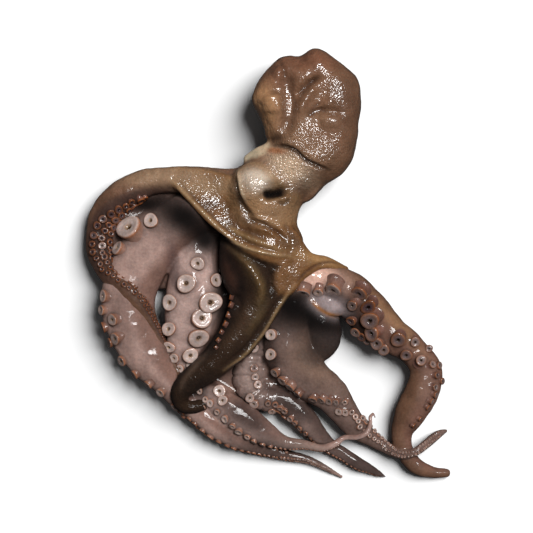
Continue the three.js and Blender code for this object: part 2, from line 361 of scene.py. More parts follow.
    def add_sheet(self, edges: Sequence[Sequence[Numbers]], thickness: float, coat: Coat, melt: float) -> None:
        """Melts in a web of skin that runs smoothly over a series of curves.

        Args:
            edges: The curves, each from one end of the web to the other, as places of its top side.
            thickness: Thickness of the web.
            coat: Its colours.
            melt: Radius over which it runs into the flesh it touches.
        """
        curves = self.spaced([through(edge) for edge in edges])
        rows = self.spaced([through(row, 8) for row in zip(*curves)])
        centres = np.vstack(rows) + MIDDLE - [0, 0, thickness / 2]
        frames = np.repeat(np.eye(3)[None], len(centres), axis=0)
        radii = np.full((len(centres), 3), thickness / 2)
        number = self.coat(coat)
        sections = [Section(centre, thickness / 2, np.zeros(3), number) for centre in centres]
        self.beads(centres, frames, radii, melt, sections)

    def add_bag(
        self, outline: Sequence[Numbers], low: float, height: float, edge: float, run: Sequence[Numbers], fall: float,
        folds: Sequence[Fold], coat: Coat, melt: float,
    ) -> None:
        """Melts in a rounded bag with folds pressed into its upper side.

        Args:
            outline: Its outline from above.
            low: Height of its underside.
            height: Its height.
            edge: Width of its rounded edge.
            run: Where its height starts to fall, and where it has fallen.
            fall: How far its height falls.
            folds: The folds.
            coat: Its colours.
            melt: Radius over which it runs into the flesh it touches.
        """
        closed = ring_through(np.array([[x, y, 0.0] for x, y in outline]) + MIDDLE)[:, :2]
        window = self.window(
            np.array([*closed.min(axis=0), low]) - BAG_NEAR, np.array([*closed.max(axis=0), low + height]) + BAG_NEAR
        )
        x, y, z = self.offsets(window, np.zeros(3))
        flat = np.stack(np.broadcast_arrays(x[:, :, 0], y[:, :, 0]), axis=-1).reshape(-1, 2)
        inside = within(flat, closed)
        distance = from_line(flat, np.vstack([closed, closed[:1]]))[0]
        distance = np.where(inside, distance, -distance).reshape(x.shape[0], y.shape[1])
        for _ in range(10):
            distance = (distance + sum(np.roll(distance, s, a) for s in (-1, 1) for a in (0, 1))) / 5
        press = np.zeros(len(flat))
        for fold in folds:
            press += fold.press(flat)
        rim = 1 - np.minimum(distance, edge) / edge
        start, end = np.array(run[0]) + MIDDLE[:2], np.array(run[1]) + MIDDLE[:2]
        slope = (end - start) / ((end - start) @ (end - start))
        slope = (*slope, start @ slope)
        along = (x * slope[0] + y * slope[1] - slope[2])[:, :, 0]
        press = press.reshape(distance.shape) - fall * np.clip(along, 0, 1)
        middle = low + height / 2
        level = z - middle
        half = np.where(level > 0, height / 2 + press[:, :, None], height / 2)
        near = np.sqrt(np.maximum(rim, 0)[:, :, None] ** 2 + (level / np.maximum(half, 4)) ** 2)
        value = ((near - 1) * min(edge, height / 2) * 0.9).astype(np.float32)
        base = len(self.sections)
        self.sections.append(Section(np.array([*closed.mean(axis=0), middle]), height, np.zeros(3), self.coat(coat)))
        self.melt_in(window, value, np.full(value.shape, base, np.int32), melt)

    def skin(self) -> tuple[np.ndarray, np.ndarray, np.ndarray]:
        """Meshes the skin, cut flat where it rests.

        Returns:
            Its points, its quads, and for each point the number of the section next to it.
        """
        under = -self.axes[2].reshape(1, 1, -1).astype(np.float32)
        grid = openvdb.FloatGrid(background=FAR)
        grid.copyFromArray(np.maximum(self.value, under))
        points, quads = grid.convertToQuads(isovalue=0.0)
        cells = np.clip(np.rint(points).astype(int), 0, self.shape - 1)
        owner = self.owner[cells[:, 0], cells[:, 1], cells[:, 2]]
        return points.astype(float) * self.cell + self.low, quads.astype(np.int64), owner


# ---- lines on the skin
def within(places: np.ndarray, outline: np.ndarray) -> np.ndarray:
    """True for the places inside a closed outline."""
    inside = np.zeros(len(places), bool)
    for (ax, ay), (bx, by) in zip(outline, np.roll(outline, -1, axis=0)):
        crosses = (ay > places[:, 1]) != (by > places[:, 1])
        if ay != by:
            inside ^= crosses & (places[:, 0] < (bx - ax) * (places[:, 1] - ay) / (by - ay) + ax)
    return inside


def from_line(places: np.ndarray, line: np.ndarray) -> tuple[np.ndarray, np.ndarray]:
    """Distance from places to a line, and how far along the line the nearest point is, 0 to 1."""
    best = np.full(len(places), 1e9)
    share = np.zeros(len(places))
    for k, (a, b) in enumerate(zip(line[:-1], line[1:])):
        span = b - a
        t = np.clip(((places - a) @ span) / max(span @ span, 1e-9), 0, 1)
        gap = np.linalg.norm(places - a - t[:, None] * span, axis=1)
        closer = gap < best
        best = np.where(closer, gap, best)
        share = np.where(closer, (k + t) / (len(line) - 1), share)
    return best, share


@dataclass(frozen=True)
class Fold:
    """A groove or a ridge in the skin, along a line seen from above.

    Attributes:
        line: The places it runs through.
        depth: How far it stands up; a groove is negative.
        width: Its half width.
        tone_and_painted_light: Colour laid along it, if any: mostly painted shade in grooves and painted highlight on
            ridges, in a few places the skin's own colour.
        strength: How strongly it is coloured.
    """

    line: tuple[Numbers, ...]
    depth: float
    width: float
    tone_and_painted_light: str = ""
    strength: float = 0.6

    def amount(self, flat: np.ndarray) -> np.ndarray:
        """Share of the full depth at places seen from above; it runs out at both ends."""
        line = through(np.array([[x, y, 0.0] for x, y in self.line]) + MIDDLE, 6)[:, :2]
        reach = 3 * self.width
        near = ((flat > line.min(axis=0) - reach) & (flat < line.max(axis=0) + reach)).all(axis=1)
        gap, share = from_line(flat[near], line)
        taper = np.clip(np.minimum(share, 1 - share) / 0.2, 0, 1) * 0.75 + 0.25
        amount = np.zeros(len(flat))
        amount[near] = np.exp(-((gap / self.width) ** 2)) * taper
        return amount

    def press(self, flat: np.ndarray) -> np.ndarray:
        """Height to add at places seen from above."""
        return self.depth * self.amount(flat)


@dataclass(frozen=True)
class TintAndLightPatch:
    """A soft patch of colour on the skin: in some places the skin's own tone, in others a painted highlight, painted
    light or painted shade. Its fields are place, half sizes, turn in degrees, colour, strength, and the grain it adds.
    """

    x: float
    y: float
    long: float
    wide: float
    turn: float
    tone_and_painted_light: str
    strength: float
    grain: float = 0.0

    def amount(self, points: np.ndarray) -> np.ndarray:
        """Strength of the patch at each point."""
        x, y = turned(points[:, 0] - self.x - MIDDLE[0], points[:, 1] - self.y - MIDDLE[1], self.turn)
        return self.strength * np.exp(-(((x / self.long) ** 2 + (y / self.wide) ** 2) ** 1.5))


class Grain:
    """Smooth random heights through space, the same on every run.

    Args:
        seed: Seed of the heights.
    """

    def __init__(self, seed: int) -> None:
        self.heights = np.random.default_rng(seed).uniform(-1, 1, (32, 32, 32))

    def at(self, points: np.ndarray, size: float) -> np.ndarray:
        """Height at points, -1 to 1, for grains of so many mm."""
        scaled = points / size + 7.3
        first = np.floor(scaled).astype(int)
        part = scaled - first
        part = part * part * (3 - 2 * part)
        total = np.zeros(len(points))
        for corner in np.ndindex(2, 2, 2):
            weight = np.prod(np.where(corner, part, 1 - part), axis=1)
            cell = (first + corner) % 32
            total += weight * self.heights[cell[:, 0], cell[:, 1], cell[:, 2]]
        return total


SKY_LOW, SKY_SIZE = np.array([-200.0, -240.0, -10.0]), np.array([400, 480, 80])
SKY_RINGS = ((78, 4), (52, 8), (28, 10))  # degrees above the ground, and how many ways to look
SKY_STEPS = 15  # how many cells far a look goes, less one


class Sky:
    """How much of the sky each place sees past the flesh around it.

    Args:
        cell: Side of its cells in mm.
    """

    def __init__(self, cell: float) -> None:
        self.cell = cell
        self.low = SKY_LOW
        self.solid = np.zeros(np.ceil(SKY_SIZE / cell).astype(int), bool)
        self.ways = []
        for rise, count in SKY_RINGS:
            flat, up = math.cos(math.radians(rise)), math.sin(math.radians(rise))
            for bearing in math.tau * np.arange(count) / count + rise:
                self.ways.append((flat * math.cos(bearing), flat * math.sin(bearing), up))

    def fill(self, flesh: Flesh) -> None:
        """Marks the cells that a flesh fills."""
        inside = np.argwhere(flesh.value[::2, ::2, ::2] < -0.3) * 2 * flesh.cell + flesh.low
        self.solid[self.cells(inside)] = True

    def cells(self, points: np.ndarray) -> tuple[np.ndarray, ...]:
        """Numbers of the cells that points lie in, along X, Y and Z."""
        cells = np.rint((points - self.low) / self.cell).astype(int)
        return tuple(np.clip(cells, 0, np.array(self.solid.shape) - 1).T)

    def open_to(self, points: np.ndarray, normals: np.ndarray) -> np.ndarray:
        """Share of the sky that each point sees, 0 to 1, weighted towards the light from overhead."""
        start = points + normals * 1.6 * self.cell
        total, weights = np.zeros(len(points)), np.zeros(len(points))
        for way in np.array(self.ways):
            weight = np.maximum(normals @ way, 0) * (0.3 + way[2]) + 0.02
            clear = np.ones(len(points), bool)
            for step in range(1, SKY_STEPS):
                clear &= ~self.solid[self.cells(start + way * step * self.cell)]
            total += weight * clear
            weights += weight
        return total / weights


# ---- meshes
def relax(values: np.ndarray, quads: np.ndarray, rounds: int, share: float = 0.5) -> np.ndarray:
    """Draws each point's values towards the mean of its neighbours'.

    Args:
        values: Values, one row for each point.
        quads: The faces.
        rounds: How often.
        share: How far each time.

    Returns:
        The smoothed values.
    """
    a = np.concatenate([quads[:, i] for i in range(4)])
    b = np.concatenate([quads[:, (i + 1) % 4] for i in range(4)])
    count = np.bincount(a, minlength=len(values)) + np.bincount(b, minlength=len(values))
    values = values.astype(float).copy()
    for _ in range(rounds):
        for column in range(values.shape[1]):
            total = np.bincount(a, values[b, column], len(values)) + np.bincount(b, values[a, column], len(values))
            mean = total / np.maximum(count, 1)
            values[:, column] += share * (mean - values[:, column])
    return values


def normals_of(points: np.ndarray, quads: np.ndarray) -> np.ndarray:
    """Unit normals at the points of a mesh of quads."""
    across = points[quads[:, 2]] - points[quads[:, 0]]
    down = points[quads[:, 3]] - points[quads[:, 1]]
    face = np.cross(across, down)
    normals = np.zeros_like(points)
    for corner in range(4):
        for axis in range(3):
            normals[:, axis] += np.bincount(quads[:, corner], face[:, axis], len(points))
    return unit(normals)


def new_mesh(
    name: str, points: np.ndarray, faces: np.ndarray, colours: np.ndarray, wet: np.ndarray
) -> bpy.types.Object:
    """Makes a smooth mesh object with a colour at every point.

    Args:
        name: Name of the piece.
        points: Points in mm.
        faces: Quads.
        colours: Linear red, green and blue, and a fourth value that the finish reads as grain.
        wet: How much of the film of water catches the light, 0 to 1.

    Returns:
        The object, at the origin.
    """
    mesh = bpy.data.meshes.new(name)
    mesh.vertices.add(len(points))
    mesh.vertices.foreach_set("co", (points * MM).astype(np.float32).ravel())
    mesh.loops.add(faces.size)
    mesh.loops.foreach_set("vertex_index", faces.astype(np.int32).ravel())
    mesh.polygons.add(len(faces))
    mesh.polygons.foreach_set("loop_start", np.arange(0, faces.size, faces.shape[1], dtype=np.int32))
    mesh.update(calc_edges=True)
    mesh.validate()
    paint = mesh.color_attributes.new("coat", "FLOAT_COLOR", "POINT")
    paint.data.foreach_set("color", colours.astype(np.float32).ravel())
    film = mesh.attributes.new("wet", "FLOAT", "POINT")
    film.data.foreach_set("value", wet.astype(np.float32))
    mesh.polygons.foreach_set("use_smooth", np.ones(len(mesh.polygons), bool))
    piece = bpy.data.objects.new(name, mesh)
    bpy.context.scene.collection.objects.link(piece)
    return piece


# ---- finishes
def add(tree: bpy.types.NodeTree, kind: str, links: dict | None = None, **settings: object) -> bpy.types.Node:
    """Adds a node.

    Args:
        tree: The node tree.
        kind: The node's type, without its prefix.
        links: Input name or number to an output socket, or to a plain value.
        settings: Properties of the node.

    Returns:
        The node.
    """
    node = tree.nodes.new("ShaderNode" + kind)
    for name, value in settings.items():
        setattr(node, name, value)
    for name, value in (links or {}).items():
        if isinstance(value, bpy.types.NodeSocket):
            tree.links.new(value, node.inputs[name])
        else:
            node.inputs[name].default_value = value
    return node


def noise(tree: bpy.types.NodeTree, place: Socket, size: float, detail: float, roughness: float = 0.5) -> Socket:
    """Cloudy noise with features of a size in mm."""
    scale = 1 / (size * MM)
    node = add(tree, "TexNoise", {"Vector": place, "Scale": scale, "Detail": detail, "Roughness": roughness})
    return node.outputs["Fac"]


def mapped(tree: bpy.types.NodeTree, value: Socket, source: Numbers = (0.0, 1.0), target: Numbers = (0.0, 1.0)
           ) -> Socket:
    """A value moved from one range to another."""
    ends = dict(zip(("From Min", "From Max", "To Min", "To Max"), (*source, *target)))
    return add(tree, "MapRange", {"Value": value, **ends}).outputs["Result"]


def times(tree: bpy.types.NodeTree, value: Socket, by: Socket | float) -> Socket:
    """A value times another, or times a plain number."""
    return add(tree, "Math", {0: value, 1: by}, operation="MULTIPLY").outputs[0]


@dataclass(frozen=True)
class WetFlesh:
    """Raw octopus skin with a film of water: glossy, a little see-through, freckled, in fine grains.

    Attributes:
        name: Name of the material.
        roughness: Roughness of the skin under the water.
        freckle: How strongly dark pigment dots show, 0 to 1.
        grain: Height of the grains of the skin in mm.
        grain_size: Size of the grains in mm.
        water: How complete the film of water is, 0 to 1.
        depth: How far light runs under the skin in mm.
    """

    name: str
    roughness: float = 0.42
    freckle: float = 0.75
    grain: float = 0.6
    grain_size: float = 1.9
    water: float = 1.0
    depth: float = 2.0

    def material(self) -> bpy.types.Material:
        """Builds the material."""
        material = bpy.data.materials.new(self.name)
        material.use_nodes = True
        tree = material.node_tree
        tree.nodes.clear()
        place = add(tree, "TexCoord").outputs["Object"]
        paint = add(tree, "Attribute", attribute_name="coat")
        colour = paint.outputs["Color"]

        # broad cloudy variation, then fine mottling
        cloudy = mapped(tree, noise(tree, place, 14.0, 5.0, 0.6), (0.3, 0.7), (0.78, 1.18))
        mottled = mapped(tree, noise(tree, place, 2.5, 4.0, 0.65), (0.35, 0.65), (0.86, 1.12))
        for shade in (cloudy, mottled):
            grey = add(tree, "CombineColor", {0: shade, 1: shade, 2: shade}).outputs["Color"]
            colour = add(tree, "Mix", {"Factor": 1.0, "A": colour, "B": grey}, data_type="RGBA",
                         blend_type="MULTIPLY").outputs["Result"]
        # pigment dots, drawn 1.3 mm apart: real ones are finer and would not show
        dots = add(tree, "TexVoronoi", {"Vector": place, "Scale": 1 / (1.3 * MM), "Randomness": 1.0})
        patch = noise(tree, place, 7.0, 2.0)
        dot = mapped(tree, dots.outputs["Distance"], (0.18, 0.42), (1.0, 0.0))
        amount = times(tree, dot, mapped(tree, patch, (0.42, 0.62)))
        amount = times(tree, times(tree, amount, paint.outputs["Alpha"]), self.freckle)
        colour = add(tree, "Mix", {"Factor": amount, "A": colour, "B": (*linear("#3a2a20"), 1.0)},
                     data_type="RGBA").outputs["Result"]

        # grains of the skin, and a slow swell of the flesh under it
        cells = add(tree, "TexVoronoi", {"Vector": place, "Scale": 1 / (self.grain_size * MM), "Smoothness": 0.6},
                    feature="SMOOTH_F1")
        finer = times(tree, noise(tree, place, 1.1, 3.0), 0.3)
        height = add(tree, "Math", {0: cells.outputs["Distance"], 1: -1.0, 2: finer}, operation="MULTIPLY_ADD")
        grains = times(tree, height.outputs[0], paint.outputs["Alpha"])
        bump = add(tree, "Bump", {"Strength": 1.0, "Distance": self.grain * MM, "Height": grains})
        swell = times(tree, noise(tree, place, 5.0, 2.0), mapped(tree, paint.outputs["Alpha"], target=(0.2, 1.5)))
        bump = add(tree, "Bump", {"Strength": 0.8, "Distance": 1.0 * MM, "Height": swell,
                                  "Normal": bump.outputs["Normal"]})

        wet = add(tree, "Attribute", attribute_name="wet").outputs["Fac"]
        under = mapped(tree, patch, (0.35, 0.65), (self.roughness - 0.08, self.roughness + 0.1))
        shader = add(tree, "BsdfPrincipled", {
            "Base Color": colour,
            "Roughness": add(tree, "Mix", {0: wet, 2: 1.0, 3: under}).outputs[0],
            "Normal": bump.outputs["Normal"],
            "IOR": 1.34,
            "Specular IOR Level": 0.3,
            "Coat Weight": times(tree, wet, self.water),
            "Coat Roughness": 0.09,
            "Coat IOR": 1.45,
            "Coat Normal": bump.outputs["Normal"],
            "Subsurface Weight": 0.16,
            "Subsurface Radius": (1.0, 0.42, 0.26),
            "Subsurface Scale": self.depth * MM,
        })
        add(tree, "OutputMaterial", {"Surface": shader.outputs["BSDF"]})
        return material


SKIN = WetFlesh("wet_octopus_skin")
CUP_FLESH = WetFlesh(
    "wet_sucker_flesh", roughness=0.36, freckle=0.15, grain=0.25, grain_size=1.2, water=0.6, depth=2.6
)


# ---- suckers
class CupSize(Enum):
    """The three sizes of sucker: points round, and the smallest diameter that uses it in mm."""

    LARGE = (40, 13.0)
    MEDIUM = (20, 8.0)
    SMALL = (8, 0.0)

    @classmethod
    def of(cls, diameter: float) -> CupSize:
        """The size for a diameter."""
        return next(size for size in cls if diameter >= size.value[1])


@dataclass(frozen=True)
class Cup:
    """One sucker in place: place, direction of its mouth, a direction across it, diameter, tone, squash, and light,
    the share of its colour it keeps as painted shade for how little of the sky it sees.
    """

    place: np.ndarray
    mouth: np.ndarray
    across: np.ndarray
    diameter: float
    tone: float
    squash: float
    light: float = 1.0

    def around(self, points: np.ndarray, reach: float) -> tuple[np.ndarray, np.ndarray]:
        """Which points lie within a reach of the sucker, and how far off they are, both in diameters."""
        near = np.abs(points - self.place).max(axis=1) < reach * self.diameter
        return near, np.linalg.norm(points[near] - self.place, axis=1) / self.diameter


# radius, height, and how far the colour is on the way from the cup's wall (0) over its lip (1) to its hole (2)
CUP_PROFILE = (
    (0.62, -0.40, 0.0), (0.52, -0.14, 0.0), (0.47, 0.05, 0.3), (0.485, 0.14, 0.6), (0.50, 0.20, 0.9),
    (0.485, 0.24, 1.0), (0.445, 0.265, 1.1), (0.37, 0.27, 1.2), (0.29, 0.25, 1.3), (0.22, 0.235, 1.4),
    (0.17, 0.24, 1.45), (0.13, 0.22, 1.6), (0.09, 0.16, 1.8), (0.05, 0.10, 2.0),
)
SMALL_CUP_PROFILE = (
    (0.62, -0.4, 0.0), (0.47, 0.02, 0.2), (0.50, 0.20, 0.9), (0.40, 0.28, 1.1), (0.2, 0.21, 1.5),
    (0.07, 0.08, 2.0),
)


class Suckers:
    """All the suckers: one model for each size, copied to every place.

    Args:
        seed: Seed for their small differences.
    """

    def __init__(self, seed: int = 11) -> None:
        self.cups: list[Cup] = []
        self.random = np.random.default_rng(seed)
        self.finish = CUP_FLESH.material()

    def model(self, size: CupSize) -> tuple[np.ndarray, np.ndarray, np.ndarray]:
        """Models one sucker of diameter 1 with its mouth towards +Z.

        Args:
            size: Which of the three.

        Returns:
            Its points, quads, and the colour share of each point.
        """
        profile = SMALL_CUP_PROFILE if size is CupSize.SMALL else CUP_PROFILE
        sides = size.value[0]
        bpy.ops.object.select_all(action="DESELECT")
        bpy.ops.mesh.primitive_circle_add(vertices=sides, radius=profile[0][0], location=(0, 0, profile[0][1]))
        cup = bpy.context.object
        bpy.ops.object.transform_apply(location=True)
        bpy.ops.object.mode_set(mode="EDIT")
        for (inner, low, _), (outer, high, _) in zip(profile, profile[1:]):
            grow = outer / inner
            bpy.ops.mesh.extrude_region_move(TRANSFORM_OT_translate={"value": (0, 0, high - low)})
            bpy.ops.transform.resize(value=(grow, grow, 1.0), center_override=(0, 0, high))
        bpy.ops.object.mode_set(mode="OBJECT")
        points = np.array([v.co[:] for v in cup.data.vertices])
        faces = sorted(list(p.vertices) for p in cup.data.polygons)  # the operators keep no fixed order
        bpy.data.objects.remove(cup)
        ring = np.arange(len(points)) // sides
        share = np.array([profile[r][2] for r in ring])
        last = len(points) - sides
        foot = len(points)
        points = np.vstack([points, [[0, 0, profile[-1][1] - 0.01], [0, 0, profile[0][1] - 0.05]]])
        share = np.append(share, [2.0, 0.0])
        pairs = [(k, k + 1, (k + 2) % sides) for k in range(0, sides, 2)]
        faces += [[last + a, last + b, last + c, foot] for a, b, c in pairs]
        faces += [[c, b, a, foot + 1] for a, b, c in pairs]
        return points, np.array(faces), share

    def colours(self, share: np.ndarray, tone: float, angle: np.ndarray) -> np.ndarray:
        """Colours of a sucker's points.

        Args:
            share: How far each point is from the wall over the lip to the hole.
            tone: How brown the sucker is.
            angle: Angle of each point round the sucker.

        Returns:
            Linear red, green, blue and grain.
        """
        # colours from the wall over the lip to the hole; the darker colours down into the hole are painted shade in
        # its recess
        stops = np.array([0.0, 0.5, 0.95, 1.1, 1.4, 1.5, 1.75, 2.0])
        pale = ["#8c6c60", "#96705f", "#97603f", "#c2aaa0", "#c0aca4", "#b1988d", "#9c7f64", "#624b39"]
        brown = ["#66463d", "#6f4838", "#864a20", "#6a4129", "#4c3a3d", "#403134", "#261714", "#0f0807"]
        table = [np.array([linear(code) for code in codes]) for codes in (pale, brown)]
        mixed = table[0] * (1 - tone) + table[1] * tone
        rgb = np.column_stack([np.interp(share, stops, mixed[:, axis]) for axis in range(3)])
        light = 1 + 0.08 * np.sin(2 * angle + tone * 9) + self.random.normal(0, 0.06)
        return np.column_stack([rgb * np.asarray(light)[:, None], np.full(len(rgb), 0.35)])

    def shaped(self, cup: Cup, model: tuple[np.ndarray, ...]) -> tuple[np.ndarray, np.ndarray]:
        """One sucker in place, a little unlike all others.

        Args:
            cup: The sucker.
            model: Points, quads and colour shares of the model for its size.

        Returns:
            Its points and their colours.
        """
        points, _, share = model
        angle = np.arctan2(points[:, 1], points[:, 0])
        phase = self.random.uniform(0, 2 * math.pi, 3)
        wave = 1 + 0.05 * np.sin(2 * angle + phase[0]) + 0.035 * np.sin(3 * angle + phase[1])
        local = points.copy()
        local[:, :2] *= wave[:, None]
        if CupSize.of(cup.diameter) is CupSize.LARGE:  # fine radial creases on the disc
            local[:, 2] += 0.006 * np.sin(20 * angle + phase[2]) * np.exp(-(((share - 1.2) / 0.2) ** 2))
        local[:, 2] += 0.03 * np.sin(angle + phase[2]) * (share > 0.4)
        local *= cup.diameter
        local[:, 1] *= cup.squash
        place = local @ np.array([cup.across, np.cross(cup.mouth, cup.across), cup.mouth]) + cup.place
        place[:, 2] = np.maximum(place[:, 2], 0.05)
        colours = self.colours(share, cup.tone, angle)
        # painted shade: the sucker's colour is darkened where it sees little of the sky
        colours[:, :3] *= cup.light
        return place, colours

    def build(self) -> list[bpy.types.Object]:
        """Makes one piece for each size of sucker."""
        pieces = []
        for size in CupSize:
            cups = [cup for cup in self.cups if CupSize.of(cup.diameter) is size]
            model = self.model(size)
            count = len(model[0])
            places, colours = zip(*(self.shaped(cup, model) for cup in cups))
            faces = np.vstack([model[1] + count * k for k in range(len(cups))])
            wet = np.repeat([min(1.0, 1.3 * cup.light - 0.3) for cup in cups], count)
            piece = new_mesh(f"suckers_{size.name.lower()}", np.vstack(places), faces, np.vstack(colours), wet)
            piece.data.materials.append(self.finish)
            LOG.info("%s: %d suckers, %d faces", piece.name, len(cups), len(piece.data.polygons))
            pieces.append(piece)
        return pieces


# ---- the body and the arms
MANTLE_COAT = Coat("#7b5943", pebble=0.45)
HEAD_COAT = Coat("#94704e", pebble=0.65)
WEB_COAT = Coat("#745030", pebble=0.45)
INNER_COAT = Coat("#6a5249", "#6a5249", pebble=0.1)
BELL_COAT = Coat("#93827f", "#93827f", pebble=0.05)
PALE_COAT = Coat("#c9b79a", "#c9b79a", pebble=0.1)

LEFT_CURL = Limb(
    "left_curl",
    (
        (-18, 77, 8, 44, 110), (-46, 81, 12, 36, 110), (-73, 86, 13, 30, 110), (-100, 87, 12, 26, 110),
        (-126, 83, 8, 29, 95), (-147, 71, 4, 32, 75), (-163, 53, 0, 33, 40), (-169, 32, 0, 30, 12),
        (-168, 12, 1, 28, 10), (-159, -6, 8, 25, 25), (-141, -22, 18, 22, 45), (-128, -37, 20, 17, 60),
        (-117, -55, 19, 12, 70), (-107, -75, 17, 9, 80), (-97, -94, 16, 7, 90), (-85, -115, 18, 4, 90),
    ),
    Coat("#775744", "#4b352d", 0.4), melt=5.0, rows=((0.30, 0.97, 0.25, 3, 0.55),), tone=1.0,
)
LEFT_OUTER = Limb(
    "left_outer",
    (
        (-28, 52, 10, 44, -60), (-63, 55, 8, 46, -60), (-96, 39, 3, 54, -45), (-120, 15, 0, 56, -38),
        (-137, -13, 0, 55, -54), (-141, -41, 0, 53, -65), (-133, -68, 0, 51, -70), (-119, -93, 0, 45, -72),
        (-101, -115, 0, 34, -78), (-78, -137, 0, 27, -85), (-55, -157, 0, 27, -95), (-32, -172, 0, 23, -95),
        (-8, -182, 0, 16, -90), (17, -190, 0, 11, -60), (42, -196, 0, 8, -30), (75, -213, 0, 4, -10),
    ),
    Coat("#7f6055", "#a3867c", 0.08),
    cups=(
        (-135, 37, 29, 0.0, 0.0), (-115, 46, 16, 0.1, 0.05), (-149, 17, 16, 0.1, 0.1), (-163, -30, 13),
        (-165, -43, 12), (-154, -53, 13), (-164, -61, 12), (-152, -70, 13), (-158, -77, 12), (-146, -94, 12),
        (-134, -106, 11), (-121, -116, 10), (-108, -125, 10),
    ),
    rows=((0.60, 0.98, 0.30, 2, 0.8),), tone=0.45, lean=0.55,
)
LEFT_INNER = Limb(
    "left_inner",
    (
        (-23, 52, 6, 40, 0), (-53, 47, 6, 34, 0), (-70, 22, 4, 36, 0), (-76, -3, 2, 46, 5), (-76, -33, 0, 54, 10),
        (-79, -58, 0, 50, 5), (-81, -80, 0, 40, 0), (-80, -100, 0, 28, -10), (-70, -118, 2, 25, -30),
        (-50, -135, 4, 30, -50), (-26, -152, 5, 31, -70), (-4, -167, 6, 24, -85), (17, -177, 7, 14, -90),
        (37, -179, 10, 9, -90), (54, -182, 14, 7, -90), (67, -178, 14, 7.5, -90), (77, -172, 12, 6, -90),
        (90, -171, 16, 6, -90), (99, -166, 17, 6, -90), (103, -157, 15, 4.5, -90), (103, -151, 14, 4, -90),
        (106, -148, 13, 3, -90), (108, -152, 12, 2, -90),
    ),
    Coat("#8a6c62", "#b0948b", 0.06),
    cups=(
        (-70, 4, 14), (-81, -15, 20), (-54, -13, 14), (-97, -36, 16), (-59, -35, 24), (-67, -52, 21), (-98, -61, 15),
        (-70, -69, 21), (-98, -78, 14), (-78, -85, 16), (-93, -90, 11), (-88, -102, 9), (-78, -96, 9),
        (-48, -125, 13), (-44, -134, 11),
    ),
    rows=((0.50, 0.86, 0.28, 2, 0.8),), tone=0.12,
)
FLAP = Limb(
    "flap",
    (
        (2, 62, 8, 46, -120), (-8, 42, 9, 60, -120), (-12, 18, 10, 74, -120), (-13, -5, 11, 68, -120),
        (-11, -28, 12, 52, -120), (-22, -53, 13, 43, -120), (-38, -79, 14, 37, -120), (-58, -99, 17, 30, -120),
        (-78, -114, 18, 24, -120), (-88, -126, 16, 20, -120), (-86, -138, 14, 16, -120), (-75, -141, 13, 14, -120),
        (-63, -137, 11, 13, -120), (-52, -129, 6, 11, -120), (-45, -122, 1, 8, -120),
    ),
    # the flap's very dark colours are partly its own dark olive brown, partly painted shade for the shade it lies in
    Coat("#2a1b10", "#1b120e", 0.6), melt=6.0,
    cups=(
        (-37, -30, 7, 0.5), (-36, -38, 7, 0.5), (-39, -47, 7, 0.5), (-43, -56, 7, 0.5), (-47, -64, 6, 0.5),
        (-50, -72, 6, 0.5), (-53, -80, 5, 0.5),
    ),
    tone=0.95,
)
CENTRE = Limb(
    "centre",
    (
        (12, 5, 4, 40, 0), (0, -33, 2, 36, 0), (-13, -68, 0, 34, 0), (-20, -95, 0, 32, 15), (-19, -118, 0, 34, 0),
        (-6, -132, 0, 28, -30), (14, -134, 0, 25, -60), (32, -147, 0, 25, -75), (47, -165, 0, 20, -85),
        (60, -179, 0, 16, -95), (74, -188, 0, 13.5, -95), (90, -198, 0, 12.5, -95), (104, -205, 0, 9, -100),
        (115, -211, 0, 5, -100), (122, -214, 0, 2, -100),
    ),
    Coat("#54423c", "#79645d", 0.08),
    cups=((-14, -81, 9), (-14, -102, 9), (-13, -111, 8), (-11, -117, 9), (-19, -130, 10), (-15, -136, 10)),
    rows=((0.50, 0.97, 0.30, 2, 0.8),), tone=0.5, pleats=(0.25, 0.52, 7.5, 1.9),
)
RIGHT_INNER = Limb(
    "right_inner",
    (
        (14, 5, 6, 44, 0), (20, -31, 6, 46, -20), (18, -63, 5, 46, -45), (22, -88, 4, 48, -60), (42, -112, 2, 44, -80),
        (63, -129, 0, 36, -75), (76, -145, 0, 30, -20), (87, -160, 0, 25, 30), (101, -171, 0, 18, 40),
        (116, -181, 1, 13, 30), (132, -189, 8, 10, 10), (146, -187, 13, 9.5, 0), (159, -179, 9, 9, 0),
        (172, -170, 2, 8, 0), (181, -166, 0, 4, 0),
    ),
    Coat("#6e574d", "#705a52", 0.12),
    cups=(
        (4, -66, 12, 0.0, 0.1), (4, -87, 12, 0.0, 0.1), (7, -105, 11), (14, -113, 11), (22, -119, 11), (30, -126, 10),
        (44, -131, 10), (53, -132, 9), (60, -133, 9), (69, -134, 8), (70, -144, 8), (77, -144, 8), (84, -145, 7),
        (77, -134, 7), (87, -149, 7), (90, -154, 6),
    ),
    rows=((0.62, 0.97, 0.30, 2, 0.9),), tone=0.45, lean=0.6,
)
